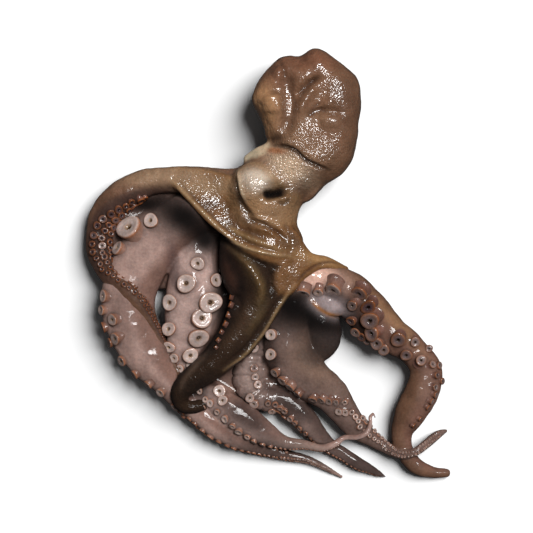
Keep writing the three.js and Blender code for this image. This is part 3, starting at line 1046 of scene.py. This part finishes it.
RIGHT = Limb(
    "right",
    (
        (-3, 12, 10, 44, -90), (24, -5, 10, 40, -90), (50, -13, 8, 36, -80), (77, -23, 5, 42, -65),
        (100, -45, 0, 46, -45), (124, -68, 0, 36, -30), (145, -83, 0, 30, -5), (159, -103, 0, 32, 50),
        (156, -125, 0, 34, 70), (144, -147, 0, 32, 80), (136, -166, 0, 22, 90), (138, -185, 0, 19, 100),
        (149, -201, 0, 17, 110), (166, -208, 0, 12, 110), (181, -209, 0, 9, 110),
    ),
    Coat("#6b4d3c", "#705043", 0.15),
    cups=(
        (33, -23, 15, 0.6, 0.4), (49, -24, 12, 0.6, 0.45), (65, -21, 19, 0.62, 0.4), (92, -22, 16), (101, -36, 16),
        (82, -36, 12), (101, -53, 19), (103, -66, 17), (108, -76, 14), (116, -83, 12), (129, -73, 16), (148, -74, 11),
        (162, -81, 8), (138, -89, 12), (152, -96, 12), (165, -99, 9), (172, -100, 8), (169, -110, 8), (175, -114, 8),
        (167, -121, 8), (168, -127, 8), (164, -134, 8), (160, -141, 7), (153, -151, 6), (147, -157, 6), (82, -53, 11),
        (84, -68, 11), (88, -75, 10), (94, -80, 10),
    ),
    tone=0.85, lean=0.72,
)
TUCKED = Limb(
    "tucked",
    (
        (17, 2, 2, 42, 0), (34, -26, 0, 44, 0), (50, -52, 0, 42, 0), (54, -72, 0, 38, 0), (44, -86, 0, 28, 0),
        (28, -90, 0, 16, 0),
    ),
    # its dark grey is partly painted shade: the arm lies tucked in shade under the right arm
    Coat("#332825", "#3a2f2c", 0.1),
)
OPENING_LIP = Limb(
    "opening_lip", ((-20, 108, 18, 10, 0), (-6, 114, 24, 14, 0), (8, 118, 26, 13, 0), (20, 114, 24, 10, 0)),
    PALE_COAT, melt=4.0,
)

MANTLE_OUTLINE = (
    (-17, 169), (-13, 179), (-6, 191), (4, 203), (12, 210), (22, 212), (32, 211), (38, 215), (47, 219), (56, 216),
    (65, 210), (77, 201), (87, 192), (92, 182), (93, 171), (93, 157), (91, 143), (90, 129), (87, 115), (82, 103),
    (75, 94), (66, 88), (58, 83), (52, 76), (46, 69), (40, 65), (34, 63), (26, 58), (14, 50), (-6, 56), (-20, 74),
    (-30, 96), (-19, 106), (-8, 112), (1, 122), (-3, 130), (-4, 137), (-7, 146), (-11, 154), (-16, 163),
)
MANTLE_FOLDS = (
    Fold(((16, 198), (19, 178), (21, 160), (19, 142), (13, 128)), -6, 7),  # valley right of the left lobes
    Fold(((26, 166), (34, 175), (42, 182), (52, 188)), -5, 4),
    Fold(((29, 148), (34, 160), (41, 171), (48, 180)), 4, 5),
    Fold(((74, 152), (64, 153), (54, 154), (42, 150)), -3.5, 3.5),
    Fold(((72, 143), (60, 144), (50, 143)), 3, 7),
    Fold(((66, 168), (60, 162), (56, 156)), 2.5, 5),
    Fold(((-2, 170), (0, 160), (2, 150)), 6, 10),  # lower left lobe
    Fold(((8, 166), (11, 158), (12, 150)), 2, 5),
    Fold(((6, 198), (10, 192), (11, 184)), 2.5, 5),
    Fold(((8, 200), (12, 190)), 3, 8),
    Fold(((-10, 172), (4, 176), (16, 176)), -2.5, 4),
    Fold(((32, 208), (36, 202)), -2, 5),
    Fold(((4, 127), (18, 125), (30, 118), (42, 109), (52, 103)), 3, 7),  # the mantle's hem over the neck
)


# painted shade: skin that sees little of the sky is darkened, down to DARKEST in the deepest hollow and tinted by
# SHADE_TINT
DARKEST = 0.10  # share of its colour that skin keeps in the deepest hollow
SHADE_TINT = np.array([0.92, 1.0, 1.05])  # hollows lose less of their red than of their blue
DULL_BELOW = 0.06  # skin darker than this loses its film of water
# the dark ring round a sucker's foot is painted shade
FOOT = 0.62  # radius of the mound and of the dark ring round a sucker's foot, in diameters
UPRIGHT = 0.3  # suckers that lean further than this stand out sideways from the arm


@dataclass
class FleshPiece:
    """One piece of skin with the limbs that are melted into it.

    Attributes:
        name: Name of the piece.
        low: Lowest corner of its grid.
        high: Highest corner of its grid.
        cell: Side of a cell of its grid.
        limbs: Its limbs.
        folds: Grooves and ridges of its upper side.
        tint_and_light_patches: Patches of other colours: the skin's own tones, painted highlights and painted shade.
        seed: Seed of its small unevenness.
        flesh: Its flesh, once it has grown.
        routes: The runs of its limbs, once it has grown.
    """

    name: str
    low: Numbers
    high: Numbers
    cell: float
    limbs: tuple[Limb, ...]
    folds: tuple[Fold, ...] = ()
    tint_and_light_patches: tuple[TintAndLightPatch, ...] = ()
    seed: int = 1
    flesh: Flesh = field(init=False)
    routes: list[Route] = field(init=False)

    def shapes(self, flesh: Flesh) -> None:
        """Melts in whatever this piece has besides limbs."""

    def grow(self, sky: Sky) -> None:
        """Melts the flesh together and marks it in the sky's cells."""
        self.flesh = Flesh(self.low, self.high, self.cell)
        self.routes = [self.flesh.add_limb(limb, number) for number, limb in enumerate(self.limbs)]
        self.shapes(self.flesh)
        sky.fill(self.flesh)

    def build(self, sky: Sky, suckers: Suckers) -> bpy.types.Object:
        """Works the surface of the flesh, sets its suckers and colours it, with painted shade where it sees little of
        the sky.

        Args:
            sky: What each place sees of the sky.
            suckers: Where its suckers are collected.

        Returns:
            The piece.
        """
        points, quads, owner = self.flesh.skin()
        owner = np.where(owner < 0, 0, owner)
        points = self.work(relax(points, quads, 2), quads, owner)
        cups = self.set_cups(points, quads)
        points = self.swell(points, quads, cups)
        points[:, 2] = np.maximum(points[:, 2], 0)
        normals = normals_of(points, quads)
        light = relax(sky.open_to(points, normals)[:, None], quads, 6)[:, 0]
        # suckers get painted shade by the same measure of open sky
        places = np.array([cup.place + cup.mouth * 0.25 * cup.diameter for cup in cups])
        cup_light = sky.open_to(places, np.array([cup.mouth for cup in cups]))
        suckers.cups += [replace(cup, light=0.45 + 0.55 * float(share)) for cup, share in zip(cups, cup_light)]
        colours = self.colours(points, quads, owner, cups)
        # painted shade: colours darkened where the skin sees little of the sky, in hollows, under webs and on flanks
        shade = (DARKEST + (1 - DARKEST) * np.clip(light * 1.25, 0, 1) ** 1.7)[:, None]
        colours[:, :3] *= shade ** SHADE_TINT
        # hollows, skin painted near black as shade, and the smooth skin between suckers glisten less
        wet = np.clip(light * 1.2, 0, 1) ** 1.5 * np.clip(colours[:, :3].mean(axis=1) / DULL_BELOW, 0, 1)
        wet *= 0.4 + 0.6 * np.clip(colours[:, 3] / 0.3, 0, 1)
        piece = new_mesh(self.name, points, quads, colours, wet)
        LOG.info("%s: %d faces, %d suckers", self.name, len(piece.data.polygons), len(cups))
        return piece

    def work(self, points: np.ndarray, quads: np.ndarray, owner: np.ndarray) -> np.ndarray:
        """Presses folds, pleats and small unevenness into the skin."""
        normals = normals_of(points, quads)
        facing = np.clip((normals[:, 2] - 0.05) / 0.4, 0, 1)
        height = np.zeros(len(points))
        for fold in self.folds:
            height += fold.press(points[:, :2]) * facing
        grain = Grain(self.seed)
        height += 0.8 * grain.at(points, 19) + 0.4 * grain.at(points, 8) + 0.2 * grain.at(points, 3.6)
        runs, limbs = self.flesh.known("run", owner), self.flesh.known("limb", owner)
        for number, (limb, route) in enumerate(zip(self.limbs, self.routes)):
            if limb.pleats:
                start, end, pitch, depth = limb.pleats
                share = runs / route.length
                fade = np.clip(np.minimum(share - start, end - share) / 0.04, 0, 1) * (limbs == number)
                height -= depth * fade * np.abs(np.cos(np.pi * runs / pitch)) ** 6
        height = relax(height[:, None], quads, 1)[:, 0] * np.clip(self.flesh.known("radius", owner) / 9, 0.15, 1)
        height[points[:, 2] < RESTING] = 0
        return points + normals * height[:, None]

    def set_cups(self, points: np.ndarray, quads: np.ndarray) -> list[Cup]:
        """Finds the place of every sucker of this piece's limbs."""
        tree = BVHTree.FromPolygons(points.tolist(), quads.tolist())
        random = np.random.default_rng(self.seed + 100)
        cups = []
        for limb, route in zip(self.limbs, self.routes):
            for x, y, diameter, *own in limb.cups:
                lean, tone = [*own, *(limb.lean, limb.tone)[len(own) :]]
                i = route.near(x + MIDDLE[0], y + MIDDLE[1])
                offset = np.array([x, y, 0]) + MIDDLE - route.centre[i]
                lateral = float(offset[:2] @ route.side[i, :2])
                lateral -= math.copysign(0.3 * diameter * max(lean - UPRIGHT, 0), lateral)
                angle = math.acos(max(-0.97, min(0.97, lateral / route.half_width[i])))
                cups.append(self.cup(tree, route, i, angle, diameter, (tone, lean), random))
            for start, end, share, count, gap in limb.rows:
                run, row = start * route.length, 0
                while run < end * route.length:
                    i = int(np.searchsorted(route.run, run))
                    diameter = max(share * 2 * route.half_width[i] * random.uniform(0.86, 1.12), 1.1)
                    oral = math.atan2(route.oral[i] @ route.up[i], route.oral[i] @ route.side[i])
                    angle = oral + gap * (row * (count - 1) % count - (count - 1) / 2) + random.normal(0, 0.06)
                    cups.append(self.cup(tree, route, i, angle, diameter, (limb.tone, UPRIGHT), random))
                    run += diameter * 1.1 / count
                    row += 1
        return [cup for cup in cups if cup is not None]

    def cup(
        self, tree: BVHTree, route: Route, i: int, angle: float, diameter: float, manner: tuple[float, float],
        random: np.random.Generator,
    ) -> Cup | None:
        """One sucker on the skin, found by looking in at the limb from outside.

        Args:
            tree: The skin.
            route: The limb's run.
            i: The section it stands on.
            angle: Where round the section, from the limb's left side over its top.
            diameter: Its diameter.
            manner: How brown it is, and how far it leans to the oral direction.
            random: Source of small differences.

        Returns:
            The sucker, or None where there is no skin of this limb.
        """
        a, b = route.half_width[i], route.half_height[i]
        out = unit(route.side[i] * math.cos(angle) / a + route.up[i] * math.sin(angle) / b)
        edge = route.centre[i] + route.side[i] * a * math.cos(angle) + route.up[i] * b * math.sin(angle)
        hit, normal, _, _ = tree.ray_cast(Vector(edge + out * 5), Vector(-out), 12)
        if hit is None:
            return None
        tone, lean = manner
        mouth = (out * 0.6 + np.array(normal) * 0.4) * (1 - lean) + route.oral[i] * lean
        mouth = unit(mouth + random.normal(0, 0.06, 3))
        across = unit(np.cross(mouth, route.along[i] + random.normal(0, 0.1, 3)))
        tone = float(np.clip(tone + random.normal(0, 0.1), 0, 1))
        squash = float(random.uniform(0.86, 1.02))
        lift = (0.02 + 0.16 * max(lean - UPRIGHT, 0)) * diameter
        return Cup(np.array(hit) + mouth * lift, mouth, across, diameter, tone, squash)

    def swell(self, points: np.ndarray, quads: np.ndarray, cups: list[Cup]) -> np.ndarray:
        """Raises a low mound of skin round the foot of each sucker."""
        normals = normals_of(points, quads)
        height = np.zeros(len(points))
        for cup in cups:
            near, gap = cup.around(points, 1.4)
            height[near] = np.maximum(height[near], 0.10 * cup.diameter * np.exp(-((gap / FOOT) ** 4)))
        return points + normals * height[:, None]

    def colours(self, points: np.ndarray, quads: np.ndarray, owner: np.ndarray, cups: list[Cup]) -> np.ndarray:
        """Colours of the skin's points.

        Args:
            points: The points.
            quads: The faces.
            owner: The section next to each point.
            cups: The suckers, round whose feet a ring of painted shade darkens the skin.

        Returns:
            Linear red, green, blue and grain.
        """
        oral, coat = self.flesh.known("oral", owner), self.flesh.known("coat", owner)
        coats = [(*linear(c.back), *linear(c.oral or c.back), c.pebble) for c in self.flesh.coats]
        back, front, pebble = np.split(np.array(coats)[coat], (3, 6), axis=1)
        out = unit(points - self.flesh.known("centre", owner))
        inner = np.clip(((out * oral).sum(axis=1) + 0.1) / 0.5, 0, 1)  # share of the side with the suckers
        inner = np.where(np.abs(oral).sum(axis=1) > 0, inner, 0)[:, None]
        paint = np.hstack([back * (1 - inner) + front * inner, pebble * (1 - 0.7 * inner)])
        paint = relax(paint, quads, 9)
        facing = np.clip((normals_of(points, quads)[:, 2] + 0.1) / 0.4, 0, 1)
        upper = np.clip((points[:, 2] - 8) / 6, 0, 1)
        # colour patches and colours along folds: the skin's own tones together with painted highlights on ridges and
        # lit sides, and painted shade in grooves and hollows
        tone_and_light_layers = [(tint_and_light_patch.tone_and_painted_light, tint_and_light_patch.amount(points) * facing, tint_and_light_patch.grain) for tint_and_light_patch in self.tint_and_light_patches]
        for fold in self.folds:
            if fold.tone_and_painted_light:
                tone_and_light_layers.append((fold.tone_and_painted_light, fold.strength * fold.amount(points[:, :2]) * upper, 0.0))
        for tone_and_painted_light, amount, grain in tone_and_light_layers:
            paint[:, :3] = paint[:, :3] * (1 - amount[:, None]) + np.outer(amount, linear(tone_and_painted_light))
            paint[:, 3] += grain * amount
        # painted shade: a dark ring round the foot of each sucker, where it meets the skin
        shade = np.ones(len(points))
        for cup in cups:
            near, gap = cup.around(points, 1.2)
            shade[near] = np.minimum(shade[near], 1 - 0.5 * np.exp(-((gap / FOOT) ** 6)))
        paint[:, :3] *= shade[:, None]
        return paint


class Body(FleshPiece):
    """Mantle, neck, head, collar of web, the flap of the front arm and the left curled arm, in one skin."""

    def shapes(self, flesh: Flesh) -> None:
        """Melts in the head, the collars and the mantle."""
        flesh.add_ball((-4, 24, 24), (40, 34, 25), -10, WEB_COAT, 8)
        flesh.add_ball((-4, 62, 25), (36, 40, 27), -20, HEAD_COAT, 8)
        flesh.add_ball((-15, 80, 38), (24, 23, 19), 0, HEAD_COAT, 6)
        flesh.add_ball((11, 66, 38), (20, 9, 12), 10, HEAD_COAT, 6)
        flesh.add_sheet(
            (
                ((-112, 94, 25), (-92, 96, 30), (-60, 93, 36), (-28, 82, 40), (-4, 56, 46), (24, 30, 42)),
                ((-110, 92, 27), (-92, 90, 32), (-66, 80, 36), (-42, 62, 39), (-18, 42, 42), (8, 22, 42)),
                ((-106, 91, 27), (-93, 83, 33), (-77, 66, 40), (-57, 45, 45), (-35, 29, 47), (-4, 17, 47)),
            ),
            6, WEB_COAT, 5,
        )
        flesh.add_sheet(
            (
                ((-20, 30, 46), (4, 36, 46), (24, 34, 42), (42, 12, 36), (58, 8, 28), (78, -2, 20)),
                ((-18, 12, 45), (2, 10, 45), (22, 8, 42), (38, 6, 39), (58, 5, 31), (78, -3, 21)),
                ((-18, -4, 44), (2, -14, 43), (18, -24, 40), (36, -9, 37), (56, 1, 32), (78, -4, 21)),
            ),
            6, WEB_COAT, 5,
        )
        flesh.add_sheet(
            (
                ((-6, 12, 43), (-12, -12, 42), (-16, -40, 38), (-28, -66, 35)),
                ((12, 0, 41), (4, -20, 39), (-4, -46, 36), (-18, -72, 33)),
                ((30, -12, 38), (14, -35, 37), (-3, -61, 34), (-20, -84, 32)),
            ),
            6, FLAP.coat, 6,
        )
        flesh.add_bag(MANTLE_OUTLINE, -SETTLE, 52, 27, ((34, 122), (6, 66)), 9, MANTLE_FOLDS, MANTLE_COAT, 6)


class LeftArms(FleshPiece):
    """The two broad left arms and the web between them, in one skin."""

    def shapes(self, flesh: Flesh) -> None:
        """Melts in the webs."""
        flesh.add_sheet(
            (
                ((-46, 80, 26), (-92, 86, 22), (-132, 80, 20), (-164, 34, 16)),
                ((-50, 66, 20), (-88, 66, 17), (-120, 56, 15), (-150, 20, 14)),
                ((-50, 52, 26), (-80, 50, 22), (-104, 36, 20), (-134, 4, 18)),
            ),
            9, INNER_COAT, 6,
        )
        flesh.add_sheet(
            (
                ((-62, 48, 24), (-96, 36, 20), (-126, -20, 14)),
                ((-56, 42, 20), (-84, 24, 15), (-106, -18, 10)),
                ((-50, 40, 24), (-74, 16, 20), (-90, -22, 14)),
            ),
            9, INNER_COAT, 6,
        )
        flesh.add_sheet(
            (
                ((-53, 40, 18), (-68, 8, 18), (-66, -40, 18), (-74, -96, 14), (-52, -128, 12)),
                ((-6, 30, 18), (0, -20, 18), (-10, -60, 16), (-20, -100, 14), (-20, -126, 12)),
            ),
            9, INNER_COAT, 5,
        )


class RightArms(FleshPiece):
    """The centre arm, both right arms, the tucked arm and the webs between them, in one skin."""

    def shapes(self, flesh: Flesh) -> None:
        """Melts in the webs, and the bell of the big sucker that hangs under the right arm's root."""
        flesh.add_ball((61, -37, 21), (19, 11, 10), -25, BELL_COAT, 1)
        flesh.add_sheet(
            (((0, -33, 18), (-13, -68, 16), (4, -134, 12)), ((20, -31, 18), (18, -63, 16), (40, -120, 12))),
            9, INNER_COAT, 5,
        )
        flesh.add_sheet(
            (((14, 5, 20), (24, -45, 18), (26, -84, 16)), ((60, -14, 20), (66, -44, 18), (50, -80, 16))),
            9, INNER_COAT, 5,
        )


# dark brown painted into grooves and creases as shade
GROOVE_SHADE = "#2c1d14"
RIGHT_FOLDS = (
    # the orange lip of the bell
    Fold(((43, -33), (51, -41), (61, -47), (73, -49)), 1.0, 2.0, "#94602f", 0.9),
)
BODY_FOLDS = (
    # the eye: its slit, painted near black as shade, with a band of painted shade round it; the upper lid, darkened as
    # painted shade; and the fold and the groove of the lower lid, the groove painted dark as shade
    Fold(((-5, 70), (5, 72), (18, 77)), -9.0, 3.8, "#080504", 1.0),
    Fold(((-5, 70), (6, 72.5), (19, 77)), 0.0, 5.5, "#1c130d", 0.8),
    Fold(((-6, 81), (6, 83), (18, 82)), 1.4, 3.5, "#5c4a33", 0.5),
    Fold(((10, 67), (16, 68), (20, 70)), 1.8, 2.2),
    Fold(((8, 64), (16, 62), (22, 67)), -1.8, 1.6, GROOVE_SHADE, 0.7),
    # the rim round the eye, with a painted highlight, and the groove outside it, painted dark as shade
    Fold(((-30, 96), (-29, 86), (-27, 75), (-22, 64)), 2.0, 2.2, "#c2ab8e", 0.6),
    Fold(((-36, 97), (-34, 84), (-31, 72), (-27, 62), (-20, 53), (-11, 47)), -4.5, 3.0, GROOVE_SHADE, 0.75),
    # creases between head and web, painted dark as shade, and the low ridges between them
    Fold(((-24, 50), (-12, 44), (-2, 41), (10, 34), (19, 26)), -3.2, 2.4, "#3c2212", 0.8),
    Fold(((-18, 49), (-6, 47), (4, 44)), 1.8, 2.2),
    Fold(((-48, 47), (-32, 40), (-14, 33), (0, 28)), -1.5, 3.2, "#4a3426", 0.6),
    Fold(((-12, 38), (0, 36), (9, 29)), 1.6, 2.0),
    Fold(((14, 44), (22, 34), (28, 22)), -1.6, 3.0, "#503a2a", 0.5),
    # the double rim of the left web: painted highlights on its two crests, painted shade in the groove between them
    Fold(((-97, 88), (-80, 70), (-64, 54), (-46, 36), (-30, 23), (-12, 16), (8, 12), (24, 10)), 2.2, 1.8,
         "#b49a76", 0.5),
    Fold(((-88, 84), (-72, 68), (-58, 54), (-44, 41), (-26, 28), (-8, 20), (10, 16)), -1.8, 1.7, "#4b3524", 0.7),
    Fold(((-44, 43), (-24, 31), (-6, 24), (16, 15)), 0.9, 2.4, "#a58a62", 0.35),
    # valleys and ridges of the front web under that rim: painted shade in the valleys, painted light on the ridges
    Fold(((-66, 42), (-48, 28), (-30, 14), (-8, 4), (10, -1)), -3.2, 3.0, "#1c120c", 0.75),
    Fold(((-24, 10), (-12, -8), (-5, -26), (-8, -44), (-20, -64)), 2.6, 4.5, "#7d6340", 0.5),
    Fold(((-6, 0), (4, -12), (7, -24)), -2.8, 4.0, GROOVE_SHADE, 0.6),
    Fold(((28, -16), (13, -36), (-6, -68), (-25, -89), (-44, -103)), 2.0, 1.5, "#9b7d5a", 0.7),
    Fold(((22, -16), (8, -36), (-11, -66), (-29, -86), (-46, -99)), -1.6, 1.6, GROOVE_SHADE, 0.6),
    Fold(((-36, -33), (-30, -40), (-38, -52)), 2.2, 5.0),
    Fold(((-34, -28), (-28, -38), (-32, -46)), -3.0, 3.0, GROOVE_SHADE, 0.7),
    # the seam where the right web ends on the arm, painted dark as shade
    Fold(((28, -16), (35, -7), (48, 2), (62, 5), (74, 2)), -1.4, 1.5, "#4a2e1f", 0.8),
    # the crease of the mantle's hem over the neck, and the folds of the mantle: painted shade in the grooves, painted
    # highlight on a ridge
    Fold(((2, 121), (15, 119), (27, 114), (37, 105), (50, 99), (60, 95)), -4.0, 1.8, "#2a1a11", 0.85),
    Fold(((30, 171), (36, 177), (43, 183), (51, 188)), -1.8, 1.8, "#2a1710", 0.85),
    Fold(((38, 149), (42, 150), (47, 154), (52, 155), (60, 152)), -2.0, 1.5, "#34201a", 0.75),
    Fold(((40, 150), (45, 157), (52, 163)), -1.0, 1.5, "#3d271d", 0.5),
    Fold(((20, 196), (21, 178), (21, 160), (19, 142), (14, 128)), -1.2, 6.0, "#573f31", 0.5),
    Fold(((10, 206), (15, 196), (17, 186)), -1.5, 1.8, "#4a3225", 0.5),
    Fold(((19, 172), (21, 162), (20, 148)), 1.6, 1.6, "#a1775c", 0.4),
    Fold(((0, 172), (6, 173), (14, 171)), -1.2, 2.0, "#5b3f2d", 0.4),
    Fold(((2, 126), (8, 128), (14, 128)), -1.0, 4.0, "#2a1a12", 0.7),
    Fold(((34, 64), (42, 70), (52, 80)), 1.5, 2.0),
    # the flap's ridges with painted light, the valleys between them with painted shade, and its edge towards the gap
    # that is painted black as shade
    Fold(((-46, 20), (-34, 0), (-27, -18), (-30, -34)), -2.0, 6.0, "#120b08", 0.8),
    Fold(((-38, 20), (-24, 6), (-13, -8), (-8, -22), (-13, -42)), 2.2, 4.0, "#5f472c", 0.6),
    Fold(((-16, -36), (-22, -52), (-32, -66), (-44, -80)), 1.2, 6.0, "#4c3626", 0.5),
    Fold(((4, -4), (2, -18), (-3, -34), (-14, -54)), -1.6, 4.0, "#23170f", 0.6),
    Fold(((-60, -84), (-72, -97), (-84, -112), (-88, -124)), 1.0, 3.0, "#5f4a3c", 0.45),
)
# patches of the skin's own tone, and painted light: painted highlights on the eye mound, the neck, the left lobe of
# the mantle and the upper edges of the webs; painted shade on the mantle's right side, the flap's left side and curl,
# the left curled arm's outer side and the hollows under the left web
BODY_TINTS_AND_PAINTED_LIGHT = tuple(TintAndLightPatch(*row) for row in (
    (-8, 190, 30, 22, 0, "#7a4f3e", 0.5), (44, 206, 34, 14, 0, "#7b4f3c", 0.6), (-6, 154, 16, 30, 0, "#c4946a", 0.85),
    (-12, 86, 15, 11, -20, "#e4d5c4", 0.85), (-62, 80, 30, 10, 0, "#a5896c", 0.55, 0.15),
    (-70, -118, 22, 9, 28, "#1b120d", 0.75), (44, 146, 26, 10, 0, "#8d6c54", 0.5),
    (34, 118, 30, 13, -30, "#947257", 0.7, 0.9), (22, 98, 28, 14, -32, "#cbae92", 0.9, 1.3),
    (44, 122, 34, 17, -25, "#80604a", 0.5, 0.8), (54, 8, 30, 7, -10, "#a88156", 0.65),
    (68, 172, 16, 20, 0, "#7d5d49", 0.3, 0.6), (-16, 82, 14, 14, 0, "#a08a76", 0.5),
    (5, 56, 20, 12, 0, "#9c7a5c", 0.6), (40, 82, 34, 12, 38, "#33241a", 0.6), (-56, 62, 9, 6, 0, "#33221a", 0.6),
    (-36, 56, 10, 16, 0, "#45301f", 0.5), (-59, 6, 7, 34, 8, "#140d0a", 0.9), (-40, -25, 9, 16, 0, "#2e211c", 0.6),
    (-22, 44, 12, 5, -30, "#3d291c", 0.6), (22, 25, 12, 10, 0, "#54402e", 0.4), (8, 115, 10, 3, -10, "#a8663c", 0.7),
    (-104, 92, 46, 11, 4, "#a4866a", 0.75), (80, 160, 17, 52, 0, "#5c4233", 0.6),
    (-35, -6, 8, 22, 15, "#4a2c20", 0.6), (-167, 30, 13, 40, 0, "#3a2822", 0.7), (-128, 66, 30, 7, 0, "#3a2720", 0.7),
    (-140, -22, 12, 34, 35, "#6d4f3c", 0.4),
))
# near black, painted where flesh lies deep in shade: the gaps under the webs and between the arms
HOLLOW_SHADE_BLACK = "#070404"
# patches of the skin's own tone and painted light: near black painted shade in the gaps under the left web and beside
# the flap, darker patches on the lower arms, and a few lighter ones
LEFT_TINTS_AND_PAINTED_LIGHT = tuple(TintAndLightPatch(*row) for row in (
    (-84, 50, 44, 24, -28, HOLLOW_SHADE_BLACK, 0.99), (-126, 63, 28, 9, 4, HOLLOW_SHADE_BLACK, 0.95), (-62, 28, 17, 17, 0, HOLLOW_SHADE_BLACK, 0.97),
    (-43, -30, 12, 66, 0, HOLLOW_SHADE_BLACK, 0.96), (-72, -124, 15, 10, 10, HOLLOW_SHADE_BLACK, 0.9), (-155, 46, 12, 22, 30, "#1d1310", 0.8),
    (-94, 0, 7, 28, 8, "#4d3a3a", 0.6), (-147, -50, 13, 30, 5, "#5a423b", 0.55),
    (-24, -150, 36, 14, -33, "#2f211d", 0.85), (15, -190, 60, 17, -12, "#2e221e", 0.85),
    (-40, -128, 12, 9, 0, "#8f6f60", 0.4), (-104, -128, 40, 8, -45, "#6a4f46", 0.5),
    (-22, -92, 10, 44, 0, HOLLOW_SHADE_BLACK, 0.7), (40, -180, 30, 6, -8, "#a58c7f", 0.3),
))
# patches of the skin's own tone and painted light: near black painted shade under the right arm's root and between the
# arms, a painted highlight along the top and upper edge of the right arm, the pale lilac of the bell, and darker
# patches on the lower arms
RIGHT_TINTS_AND_PAINTED_LIGHT = tuple(TintAndLightPatch(*row) for row in (
    (26, -38, 42, 29, 0, HOLLOW_SHADE_BLACK, 0.99), (58, -50, 34, 22, -20, HOLLOW_SHADE_BLACK, 0.98), (56, -80, 18, 16, 0, "#3b302d", 0.5),
    (-14, -62, 18, 20, 0, HOLLOW_SHADE_BLACK, 0.95), (4, -92, 8, 26, 8, "#2b1e1a", 0.7), (22, -140, 24, 12, -30, "#2b1f1b", 0.8),
    (46, -10, 34, 15, -16, "#dab09e", 0.95), (126, -54, 44, 7, -46, "#96704f", 0.6),
    (86, -58, 15, 36, 35, "#1d110d", 0.85), (160, -118, 9, 26, 0, "#8a6c5f", 0.4),
    (140, -134, 7, 24, -20, "#6a4a36", 0.5), (44, -94, 26, 18, -30, "#8a6b55", 0.35),
    (-18, -108, 12, 22, 0, "#a48d84", 0.45), (84, -190, 50, 10, -24, "#5a4740", 0.5),
    (100, -170, 30, 8, -35, "#5f4a42", 0.5), (61, -37, 20, 12, -25, "#a08f8e", 0.97),
    (50, -86, 22, 16, 0, "#2a2220", 0.7), (110, -205, 40, 12, -20, "#3a2d2a", 0.6),
))


FLOOR_SIDE, FLOOR_GAP = 8.0, 0.0004  # metres; the gap keeps the floor clear of the flesh's flats
LENS, SENSOR, FAR_END = 108, 36, 20  # mm, mm, metres
CAMERA_PLACE = (-0.0002, -0.0001, 1.625)
# name, direction it comes from, apparent size in degrees, strength, and whether it lights the flesh or the floor
LIGHTS = (
    ("softbox", (0.28, 0.30, 0.91), 18, 3.2, True),
    ("overhead", (0.06, 0.16, 0.98), 8, 0.4, True),
    ("window", (0.58, 0.40, 0.71), 46, 5.0, False),
)


def stage(pieces: list[bpy.types.Object]) -> None:
    """Lays the floor, sets the lights and the camera over the octopus.

    Args:
        pieces: The pieces of the octopus. They are lit from overhead, and the floor from lower down, which
            draws the soft shadow out to the left.
    """
    bpy.ops.object.select_all(action="DESELECT")
    bpy.ops.mesh.primitive_plane_add(size=FLOOR_SIDE, location=(0, 0, -FLOOR_GAP))
    floor = bpy.context.object
    floor.name = "floor"
    white = bpy.data.materials.new("white_sweep")
    white.use_nodes = True
    shader = white.node_tree.nodes["Principled BSDF"]
    for name, value in (("Base Color", (0.97, 0.97, 0.97, 1)), ("Roughness", 0.9), ("Specular IOR Level", 0.0)):
        shader.inputs[name].default_value = value
    floor.data.materials.append(white)

    floor.visible_diffuse = False  # the dark room under the octopus throws no light back
    floor.visible_glossy = False
    world = bpy.data.worlds.new("studio")
    bpy.context.scene.world = world
    world.use_nodes = True
    background = world.node_tree.nodes["Background"]
    background.inputs["Color"].default_value = (0.96, 0.98, 1, 1)
    background.inputs["Strength"].default_value = 0.04
    for name, way, spread, power, on_flesh in LIGHTS:
        light = bpy.data.lights.new(name, "SUN")
        light.angle = math.radians(spread)
        light.energy = power
        lamp = bpy.data.objects.new(name, light)
        lamp.location = way
        lamp.rotation_euler = Vector(way).to_track_quat("Z", "Y").to_euler()
        bpy.context.scene.collection.objects.link(lamp)
        group = bpy.data.collections.new(f"lit_by_{name}")
        for thing in pieces if on_flesh else [floor]:
            group.objects.link(thing)
        lamp.light_linking.receiver_collection = group

    camera = bpy.data.cameras.new("camera")
    camera.lens, camera.sensor_width, camera.clip_end = LENS, SENSOR, FAR_END
    eye = bpy.data.objects.new("camera", camera)
    eye.location = CAMERA_PLACE
    bpy.context.scene.collection.objects.link(eye)
    bpy.context.scene.camera = eye
    bpy.context.scene.view_settings.view_transform = "Standard"


def main() -> None:
    """Builds the octopus piece by piece."""
    logging.basicConfig(level=logging.INFO, format="%(name)s %(message)s")
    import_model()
    cell = CELL
    skin = SKIN.material()
    suckers = Suckers()
    groups = (
        Body("head_and_mantle", (-190, -150, -4), (100, 225, 62), cell, (LEFT_CURL, FLAP, OPENING_LIP),
             BODY_FOLDS, BODY_TINTS_AND_PAINTED_LIGHT, seed=3),
        LeftArms("left_arms", (-182, -222, -4), (118, 100, 52), cell, (LEFT_OUTER, LEFT_INNER),
                 (), LEFT_TINTS_AND_PAINTED_LIGHT, seed=5),
        RightArms("right_arms", (-45, -222, -4), (190, 45, 50), cell, (CENTRE, RIGHT_INNER, RIGHT, TUCKED),
                  RIGHT_FOLDS, RIGHT_TINTS_AND_PAINTED_LIGHT, seed=8),
    )
    sky = Sky(2 * cell)
    for group in groups:
        group.grow(sky)
    pieces = []
    for group in groups:
        piece = group.build(sky, suckers)
        piece.data.materials.append(skin)
        pieces.append(piece)
    pieces += suckers.build()
    for piece in pieces:
        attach(piece, "root")
        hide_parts("octopus")
    stage(pieces)


if __name__ == "__main__":
    main()
